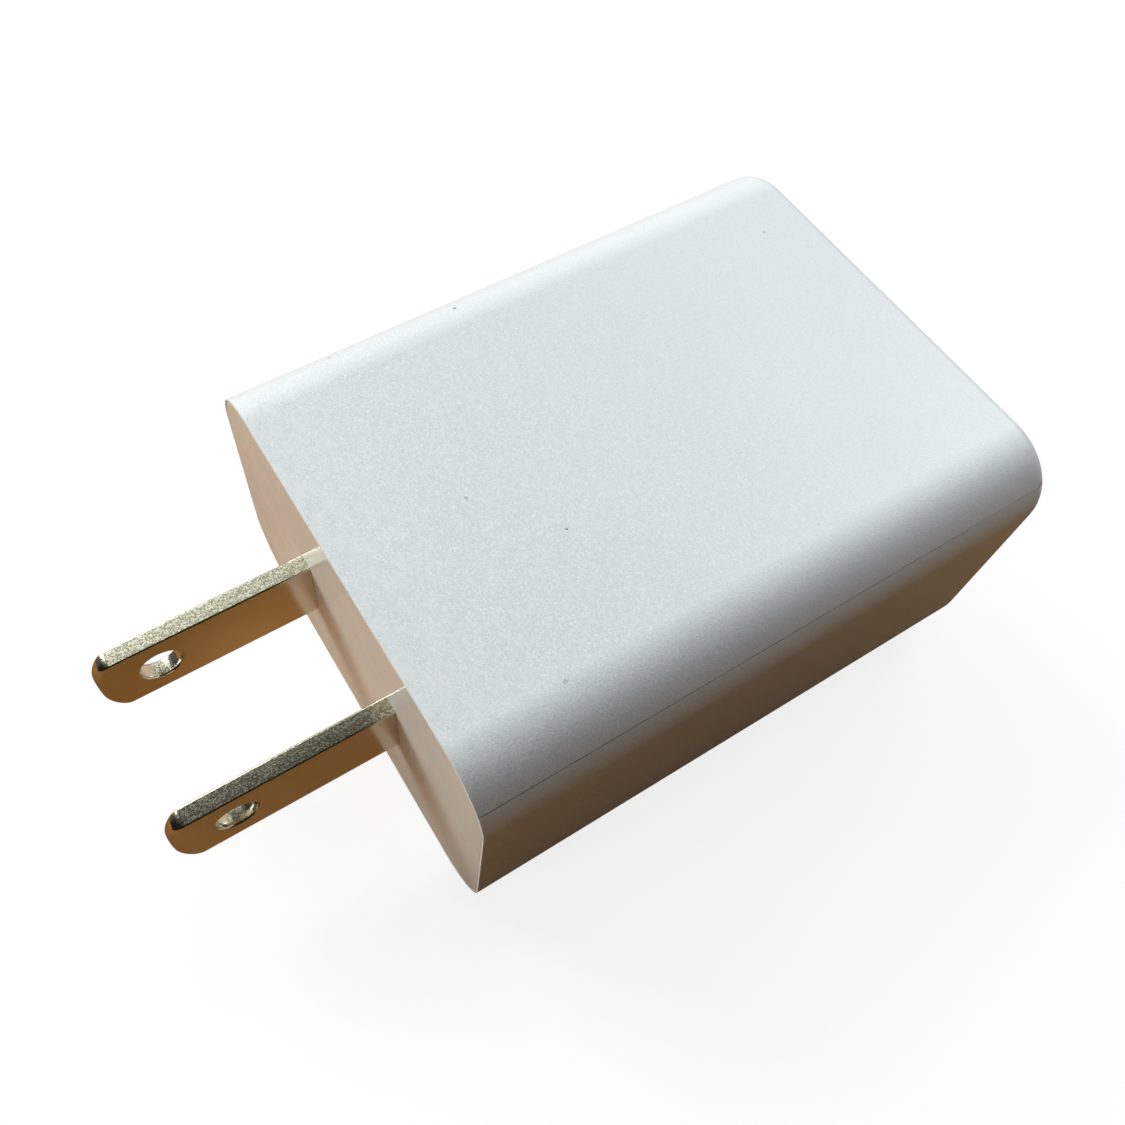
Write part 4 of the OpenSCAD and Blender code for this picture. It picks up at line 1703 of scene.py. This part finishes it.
@dataclass
class Transformer:
    """The transformer: two ferrite halves, bobbin, wound coil, tape and pins."""

    nodes: dict
    wire: float = 0.3 * MM
    ferrite: bpy.types.Material = field(init=False)
    resin: bpy.types.Material = field(init=False)
    copper: bpy.types.Material = field(init=False)
    tape: bpy.types.Material = field(init=False)
    tin: bpy.types.Material = field(init=False)

    def dress(self) -> None:
        """Makes the finishes."""
        self.ferrite = PlainPlasticFinish("ferrite", (0.055, 0.055, 0.060), (0.085, 0.083, 0.085), 0.55,
                                          grain_size=0.12 * MM, grain_depth=0.015 * MM).build()
        self.resin = PlainPlasticFinish("bobbin_resin", (0.024, 0.023, 0.023), (0.036, 0.035, 0.034),
                                        0.4).build()
        self.copper = BareMetalFinish("enamelled_copper", (0.72, 0.32, 0.13), (0.55, 0.22, 0.085),
                                      0.22).build()
        self.tape = PlainPlasticFinish("polyester_tape", (0.70, 0.47, 0.055), (0.78, 0.55, 0.09), 0.2,
                                       grain_size=0.8 * MM, grain_depth=0.03 * MM).build()
        self.tin = BareMetalFinish("tinned_pin", (0.70, 0.70, 0.69), (0.52, 0.52, 0.51), 0.3).build()

    def sleeve(self, node: str, wall: float, waves: int, depth: float) -> bmesh.types.BMesh:
        """Builds a rounded rectangular sleeve along Y whose outside rises and falls.

        Args:
            node: The node that gives its size.
            wall: Its thickness, or the whole way in to the bobbin for a coil.
            waves: Turns of wire along it, or 0 for a flat outside.
            depth: How deep the valleys between the turns are.

        Returns:
            A closed mesh.
        """
        low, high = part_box(node)
        middle, size = (low + high) / 2, high - low
        steps = max(waves, 1) * 6
        outer, inner = [], []
        for i in range(steps + 1):
            y = low.y + size.y * i / steps
            dip = depth * abs(math.cos(math.pi * i / 6)) ** 3 if waves else 0.0
            loop = rounded_loop(size.x - 2 * dip, size.z - 2 * dip, 1.1 * MM, y, 4)
            outer.append([p + Vector((middle.x, 0, middle.z)) for p in loop])
        for y in (high.y, low.y):
            loop = rounded_loop(size.x - 2 * wall, size.z - 2 * wall, 0.5 * MM, y, 4)
            inner.append([p + Vector((middle.x, 0, middle.z)) for p in loop])
        return loft([*outer, *inner], ring=True)

    def pins(self) -> bmesh.types.BMesh:
        """Builds the eight pins under the bobbin's rails.

        Returns:
            The finished mesh.
        """
        low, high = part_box("transformer_pins")
        x_low, x_high = low.x + 0.35 * MM, high.x - 0.35 * MM
        made = []
        for i in range(4):
            for y in (low.y + 0.35 * MM, high.y - 0.35 * MM):
                profile = [(0.25 * MM, low.z), (0.35 * MM, low.z + 0.1 * MM), (0.35 * MM, high.z)]
                made.append(place(turned(profile, 20), shift(x_low + (x_high - x_low) * i / 3, y)))
        return merged(made)

    def build(self) -> None:
        """Builds the pieces and dresses the ferrite halves and the bobbin."""
        for node in ("transformer_core_front", "transformer_core_rear"):
            dressed(self.nodes[node], self.ferrite, 0.18 * MM)
        dressed(self.nodes["transformer_bobbin"], self.resin, 0.12 * MM)
        low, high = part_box("transformer_winding")
        turns = int((high.y - low.y) / self.wire)
        piece_from("transformer_coil", self.sleeve("transformer_winding", 1.2 * MM, turns, 0.13 * MM),
                   self.copper,
                   Body.CHARGER, ["transformer_winding"])
        piece_from("transformer_wrap", self.sleeve("transformer_tape", 0.11 * MM, 0, 0.0), self.tape,
                   Body.CHARGER, ["transformer_tape"])
        piece_from("transformer_pin_row", self.pins(), self.tin, Body.CHARGER,
                   ["transformer_pins"])


@dataclass
class Capacitors:
    """The four can capacitors: two lie on the board and two stand at the port end."""

    bulk_length: float = 13 * MM
    sleeve_wall: float = 0.12 * MM
    aluminium: bpy.types.Material = field(init=False)
    rubber: bpy.types.Material = field(init=False)
    tin: bpy.types.Material = field(init=False)

    def dress(self) -> None:
        """Makes the finishes that all the cans share."""
        self.aluminium = BareMetalFinish("can_aluminium", (0.72, 0.72, 0.73), (0.60, 0.60, 0.61),
                                         0.26).build()
        self.rubber = PlainPlasticFinish("bung_rubber", (0.03, 0.03, 0.032), (0.045, 0.045, 0.046),
                                         0.65).build()
        self.tin = BareMetalFinish("tinned_lead", (0.70, 0.70, 0.69), (0.54, 0.54, 0.53), 0.27).build()

    def sleeve(self, radius: float, length: float) -> bmesh.types.BMesh:
        """Builds a shrunk sleeve round the Z axis that curls over both ends of its can.

        Args:
            radius: Outer radius of the sleeve.
            length: Length of the can.

        Returns:
            The finished mesh.
        """
        neck, wall = 0.13 * length, self.sleeve_wall
        outside = [(radius - 1.0 * MM, 0.0), (radius - 0.4 * MM, 0.0), (radius - 0.1 * MM, 0.1 * MM),
                   (radius, 0.4 * MM), (radius, neck - 0.35 * MM), (radius - 0.12 * MM, neck - 0.15 * MM),
                   (radius - 0.33 * MM, neck), (radius - 0.12 * MM, neck + 0.15 * MM),
                   (radius, neck + 0.35 * MM),
                   (radius, length - 0.5 * MM), (radius - 0.15 * MM, length - 0.14 * MM),
                   (radius - 0.5 * MM, length), (radius - 1.1 * MM, length)]
        inside = [(r - wall, min(max(h, wall), length - wall)) for r, h in reversed(outside)]
        inside[0] = (outside[-1][0], length - wall)
        inside[-1] = (outside[0][0], wall)
        return loft([circle_loop(r, h, 56) for r, h in [*outside, *inside]], ring=True)

    def top(self, radius: float, length: float) -> bmesh.types.BMesh:
        """Builds the can's bare top with its crossed vent grooves.

        The grooves overlap where they cross, so they are cut one after the other.

        Args:
            radius: Outer radius of the sleeve.
            length: Length of the can.

        Returns:
            A closed mesh about the Z axis.
        """
        inner = radius - 0.5 * MM
        disc = turned([(inner, length - 1.0 * MM), (inner, length - 0.16 * MM),
                       (inner - 0.2 * MM, length - 0.125 * MM)])
        reach, half = 0.62 * radius, 0.09 * MM
        first = block(Vector((-reach, -half, length - 0.26 * MM)), Vector((reach, half, length)))
        second = block(Vector((-half, -reach, length - 0.25 * MM)), Vector((half, reach, length)))
        return carved(carved(disc, [first]), [second])

    def bung(self, radius: float) -> bmesh.types.BMesh:
        """Builds the rubber bung in the can's lower end."""
        inner = radius - 0.95 * MM
        return turned([(inner - 0.3 * MM, 0.04 * MM), (inner, 0.12 * MM), (inner, 0.9 * MM)])

    def can(self, node: str, radius: float, length: float, at: Matrix, finish: bpy.types.Material) -> None:
        """Builds one can from its sleeve, top and bung.

        Args:
            node: The node that it stands for.
            radius: Outer radius of the sleeve.
            length: Length of the can.
            at: The move from a can on the XY plane to its place.
            finish: The sleeve's finish.
        """
        parts = (("sleeve", self.sleeve(radius, length), finish),
                 ("top", self.top(radius, length), self.aluminium),
                 ("bung", self.bung(radius), self.rubber))
        for word, mesh, material in parts:
            piece_from(f"{node}_{word}", place(mesh, at), material, Body.CHARGER, [node])

    def build(self) -> None:
        """Builds all four cans and the lying ones' leads."""
        for word in ("inner", "outer"):
            node = f"bulk_capacitor_{word}"
            low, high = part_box(node)
            radius = (high.x - low.x) / 2
            axis = Vector(((low.x + high.x) / 2, low.y + self.bulk_length, high.z - radius))
            sleeve = SleeveFinish(f"{node}_vinyl", (0.020, 0.075, 0.045), (0.55, 0.58, 0.53), tuple(axis),
                                  (0.0, 0.0, 1.0), 0.83 * radius).build()
            at = shift(*axis) @ Matrix.Rotation(math.radians(90), 4, "X")
            self.can(node, radius, self.bulk_length, at, sleeve)
            leads = []
            for side in (-1, 1):
                x = axis.x + side * 1.75 * MM
                rows = ((axis.y - 0.6 * MM, axis.z), (axis.y + 0.7 * MM, axis.z),
                        (axis.y + 0.9 * MM, axis.z - 0.4 * MM),
                        (axis.y + 0.9 * MM, low.z))
                leads.append(wire(eased([Vector((x, y, z)) for y, z in rows]), 0.28 * MM))
            piece_from(f"{node}_leads", merged(leads), self.tin, Body.CHARGER, [node])
        for word in ("left", "right"):
            node = f"output_capacitor_{word}"
            low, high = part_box(node)
            radius = (high.x - low.x) / 2
            axis = Vector(((low.x + high.x) / 2, (low.y + high.y) / 2, low.z))
            sleeve = SleeveFinish(f"{node}_vinyl", (0.030, 0.032, 0.085), (0.55, 0.56, 0.60), tuple(axis),
                                  (0.0, 1.0, 0.0), 0.83 * radius).build()
            self.can(node, radius, high.z - low.z, shift(*axis), sleeve)


@dataclass
class MainsParts:
    """The wired parts at the mains side: resistor, choke, varistor and safety capacitor."""

    tin: bpy.types.Material = field(init=False)
    copper: bpy.types.Material = field(init=False)
    drum: bpy.types.Material = field(init=False)
    enamel: bpy.types.Material = field(init=False)
    blue: bpy.types.Material = field(init=False)
    pale_blue: bpy.types.Material = field(init=False)

    def dress(self) -> None:
        """Makes the finishes."""
        self.tin = BareMetalFinish("tinned_wire", (0.70, 0.70, 0.69), (0.54, 0.54, 0.53), 0.27).build()
        self.copper = BareMetalFinish("choke_copper", (0.72, 0.32, 0.13), (0.55, 0.22, 0.085), 0.22).build()
        self.drum = PlainPlasticFinish("choke_ferrite", (0.10, 0.085, 0.075), (0.14, 0.12, 0.105), 0.55,
                                       grain_size=0.12 * MM).build()
        self.enamel = BandedFinish().build()
        self.blue = PlainPlasticFinish("varistor_epoxy", (0.030, 0.105, 0.34), (0.045, 0.14, 0.42), 0.3,
                                       grain_size=0.9 * MM, grain_depth=0.04 * MM).build()
        self.pale_blue = PlainPlasticFinish("capacitor_epoxy", (0.05, 0.23, 0.44), (0.07, 0.30, 0.52), 0.3,
                                            grain_size=0.9 * MM, grain_depth=0.04 * MM).build()

    def resistor(self) -> None:
        """Builds the resistor's body with swollen ends, and its two bent leads."""
        node = "fusible_resistor"
        low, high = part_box(node)
        radius = 1.6 * MM
        axis = Vector((0, (low.y + high.y) / 2, high.z - radius))
        half = 4.2 * MM
        profile = [(0.5 * MM, -half), (1.2 * MM, -half + 0.05 * MM), (1.5 * MM, -half + 0.3 * MM),
                   (radius, -half + 0.9 * MM), (1.52 * MM, -half + 1.8 * MM), (1.42 * MM, -half + 2.6 * MM)]
        whole = profile + [(r, -h) for r, h in reversed(profile)]
        body = place(turned(whole), shift(*axis) @ Matrix.Rotation(math.radians(90), 4, "Y"))
        piece_from("fusible_resistor_body", body, self.enamel, Body.CHARGER, [node])
        leads = []
        for side in (-1, 1):
            rows = ((half - 0.3 * MM, axis.z), (half + 0.6 * MM, axis.z),
                    (half + 0.9 * MM, axis.z - 0.4 * MM),
                    (half + 0.9 * MM, low.z))
            leads.append(wire(eased([Vector((side * x, axis.y, z)) for x, z in rows]), 0.28 * MM))
        piece_from("fusible_resistor_leads", merged(leads), self.tin, Body.CHARGER, [node])

    def choke(self) -> None:
        """Builds the choke's drum core and its wound wire."""
        node = "line_choke"
        low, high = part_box(node)
        at = shift((low.x + high.x) / 2, (low.y + high.y) / 2, low.z)
        height, radius = high.z - low.z, (high.x - low.x) / 2
        flange, core = 1.0 * MM, 1.6 * MM
        drum = turned([(radius - 0.12 * MM, 0), (radius, 0.12 * MM), (radius, flange - 0.1 * MM),
                       (radius - 0.1 * MM, flange),
                       (core, flange), (core, height - flange), (radius - 0.1 * MM, height - flange),
                       (radius, height - flange + 0.1 * MM), (radius, height - 0.12 * MM),
                       (radius - 0.12 * MM, height)])
        piece_from("line_choke_drum", place(drum, at), self.drum, Body.CHARGER, [node])
        turns, span = 13, height - 2 * flange - 0.1 * MM
        coil = [(core + 0.05 * MM, flange + 0.05 * MM)]
        for i in range(turns * 6 + 1):
            swell = 0.14 * MM * abs(math.sin(math.pi * i / 6)) ** 0.6
            coil.append((radius - 0.66 * MM + swell, flange + 0.05 * MM + span * i / (turns * 6)))
        coil.append((core + 0.05 * MM, coil[-1][1]))
        ring = loft([circle_loop(r, h) for r, h in coil], ring=True)
        piece_from("line_choke_coil", place(ring, at), self.copper, Body.CHARGER, [node])

    def disc(self, node: str, finish: bpy.types.Material) -> None:
        """Builds a dipped disc part with a crowned coat, and its two leads.

        Args:
            node: The node that it stands for.
            finish: The coat's finish.
        """
        low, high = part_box(node)
        radius, half = (high.x - low.x) / 2, (high.y - low.y) / 2
        middle = Vector(((low.x + high.x) / 2, (low.y + high.y) / 2, high.z - radius))
        profile = []
        steps = 14
        for i in range(steps + 1):
            angle = math.radians(-90 + 180 * i / steps)
            profile.append((radius - half * 0.75 * (1 - math.cos(angle)), half * 0.92 * math.sin(angle)))
        crowned = [(radius * 0.02, -half), (radius * 0.35, -half * 0.985), *profile,
                   (radius * 0.35, half * 0.985), (radius * 0.02, half)]
        coat = place(turned(crowned, 56), shift(*middle) @ Matrix.Rotation(math.radians(90), 4, "X"))
        piece_from(f"{node}_coat", coat, finish, Body.CHARGER, [node])
        leads = []
        for side in (-1, 1):
            x = middle.x + side * radius * 0.6
            top = middle.z - radius * 0.75
            leads.append(wire([Vector((x, middle.y, top)), Vector((x, middle.y, low.z + 0.4 * MM)),
                               Vector((x, middle.y, low.z))], 0.28 * MM))
            skirt = turned([(0.31 * MM, 0), (0.5 * MM, 0.5 * MM), (0.6 * MM, 1.0 * MM)], 20)
            leads.append(place(skirt, shift(x, middle.y, top - 0.45 * MM)))
        piece_from(f"{node}_leads", merged(leads), self.tin, Body.CHARGER, [node])

    def build(self) -> None:
        """Builds the pieces."""
        self.resistor()
        self.choke()
        self.disc("surge_varistor", self.blue)
        self.disc("safety_capacitor", self.pale_blue)


# ---------------------------------------------------------------- studio


@dataclass
class Studio:
    """Floor, lights and camera."""

    floor_z: float
    camera_place: Vector = field(default_factory=lambda: Vector((-31.29, 10.18, 70.95)) * MM)
    camera_turn: Vector = field(default_factory=lambda: Vector((29.03, -1.76, -121.19)))
    focal_length: float = 34.18
    side_shift: float = 0.07

    def build_floor(self) -> None:
        """Builds a plain floor that looks pale and throws warm light back, as a wooden bench does."""
        material = bpy.data.materials.new("studio_floor")
        material.use_nodes = True
        graph = Graph(material.node_tree)
        away = graph.add("VectorMath", {0: graph.add("TexCoord").outputs["Object"]}, operation="LENGTH")
        far = graph.remap(away.outputs["Value"], 0.08, 0.45)
        pale = graph.add("BsdfDiffuse", {"Color": graph.mix(far, (0.25, 0.25, 0.25), (0.0, 0.0, 0.0))})
        lift = graph.add("Emission", {"Color": (1.0, 1.0, 1.0),
                                      "Strength": graph.remap(far, 0.0, 1.0, 0.82, 1.0)})
        seen = graph.add("AddShader", {0: pale.outputs[0], 1: lift.outputs[0]})
        figure = graph.remap(graph.noise(0.018, 3.0), 0.3, 0.7)
        wood = graph.mix(figure, (0.285, 0.137, 0.042), (0.39, 0.20, 0.072))
        bench = graph.add("BsdfDiffuse", {"Color": wood})
        path = graph.add("LightPath").outputs["Is Camera Ray"]
        both = graph.add("MixShader", {0: path, 1: bench.outputs[0], 2: seen.outputs[0]})
        graph.add("OutputMaterial", {"Surface": both.outputs[0]})
        mesh = bmesh.new()
        bmesh.ops.create_grid(mesh, x_segments=8, y_segments=8, size=2.0)
        place(mesh, shift(z=self.floor_z))
        data = bpy.data.meshes.new("studio_floor")
        mesh.to_mesh(data)
        mesh.free()
        data.materials.append(material)
        floor = bpy.data.objects.new("studio_floor", data)
        bpy.context.scene.collection.objects.link(floor)
        floor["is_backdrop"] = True

    def area(self, name: str, place_mm: Colour, size_mm: tuple[float, float], watts: float,
             colour: Colour, mirrored: bool = True) -> None:
        """Adds a soft rectangular light that points at the charger.

        Args:
            name: The light's name.
            place_mm: Where it hangs, in millimetres.
            size_mm: Its two sides, in millimetres.
            watts: Its power.
            colour: Its colour.
            mirrored: Whether shiny surfaces show it.
        """
        data = bpy.data.lights.new(name, "AREA")
        data.shape = "RECTANGLE"
        data.size, data.size_y = (side * MM for side in size_mm)
        data.energy = watts
        data.color = colour
        light = bpy.data.objects.new(name, data)
        light.location = Vector(place_mm) * MM
        light.visible_camera = False
        light.visible_glossy = mirrored
        aim = Vector((0, -20 * MM, 0)) - light.location
        light.rotation_mode = "QUATERNION"
        light.rotation_quaternion = aim.to_track_quat("-Z", "Y")
        bpy.context.scene.collection.objects.link(light)

    def build_lights(self) -> None:
        """Hangs a large soft key light, a low front light and a small light over the far end, and sets a dim
        fill that is brighter towards +X and towards -Y above the horizon.
        """
        self.area("key_softbox", (385, 140, 287), (260, 260), 1.9, (0.94, 0.985, 0.99))
        self.area("front_card", (60, 420, 60), (260, 200), 0.98, (1.0, 0.985, 0.925), False)
        self.area("far_end_light", (-17, -124, 100), (80, 80), 0.072, (0.95, 0.98, 1.0))
        world = bpy.data.worlds.new("studio_air")
        world.use_nodes = True
        graph = Graph(world.node_tree)
        towards = graph.add("SeparateXYZ", {0: graph.add("TexCoord").outputs["Generated"]})
        side, ahead, up = (towards.outputs[i] for i in range(3))
        window = graph.maths("MULTIPLY", graph.remap(side, 0.385, 0.47, 0.0, 0.92),
                             graph.remap(ahead, 0.3, 0.65, 1.0, 0.1))
        behind = graph.maths("MULTIPLY", graph.remap(ahead, -0.6, -0.4, 1.0, 0.0),
                             graph.remap(side, -0.12, 0.1, 0.0, 0.85))
        sky = graph.maths("MULTIPLY", graph.maths("MAXIMUM", window, behind), graph.remap(up, 0.0, 0.08))
        fill = graph.add("Background", {"Color": (0.945, 0.985, 0.99),
                                        "Strength": graph.maths("ADD", sky, 0.012)})
        clean = graph.add("Background", {"Color": (1.0, 1.0, 1.0), "Strength": 1.0})
        path = graph.add("LightPath").outputs["Is Camera Ray"]
        both = graph.add("MixShader", {0: path, 1: fill.outputs[0], 2: clean.outputs[0]})
        graph.add("OutputWorld", {"Surface": both.outputs[0]})
        bpy.context.scene.world = world

    def build_camera(self) -> None:
        """Sets the camera up above the plug end's right corner."""
        data = bpy.data.cameras.new("camera")
        data.sensor_width = 36.0
        data.lens = self.focal_length
        data.shift_x = self.side_shift
        data.clip_start = 0.005
        data.clip_end = 10.0
        camera = bpy.data.objects.new("camera", data)
        camera.location = self.camera_place
        camera.rotation_euler = [math.radians(angle) for angle in self.camera_turn]
        bpy.context.scene.collection.objects.link(camera)
        bpy.context.scene.camera = camera

    def build(self) -> None:
        """Builds the whole studio."""
        self.build_floor()
        self.build_lights()
        self.build_camera()
        bpy.context.scene.view_settings.view_transform = "Standard"


def main(frame: dict) -> None:
    """Builds the charger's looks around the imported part, in order.
    """
    logging.basicConfig(level=logging.INFO, format="%(name)s: %(message)s")
    cad_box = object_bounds()
    nodes = frame["nodes"]
    for part in (Shell.from_frame(), PlugEnd.from_frame(), UsbPort.from_frame(), BladeFixings(),
                 Circuit(nodes),
                 Transformer(nodes), Capacitors(), MainsParts()):
        part.dress()
        part.build()
        LOG.info("finished %s", type(part).__name__)
    Studio(floor_z=cad_box[0].z).build()


if __name__ == "__main__":
    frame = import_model()
    main(frame)
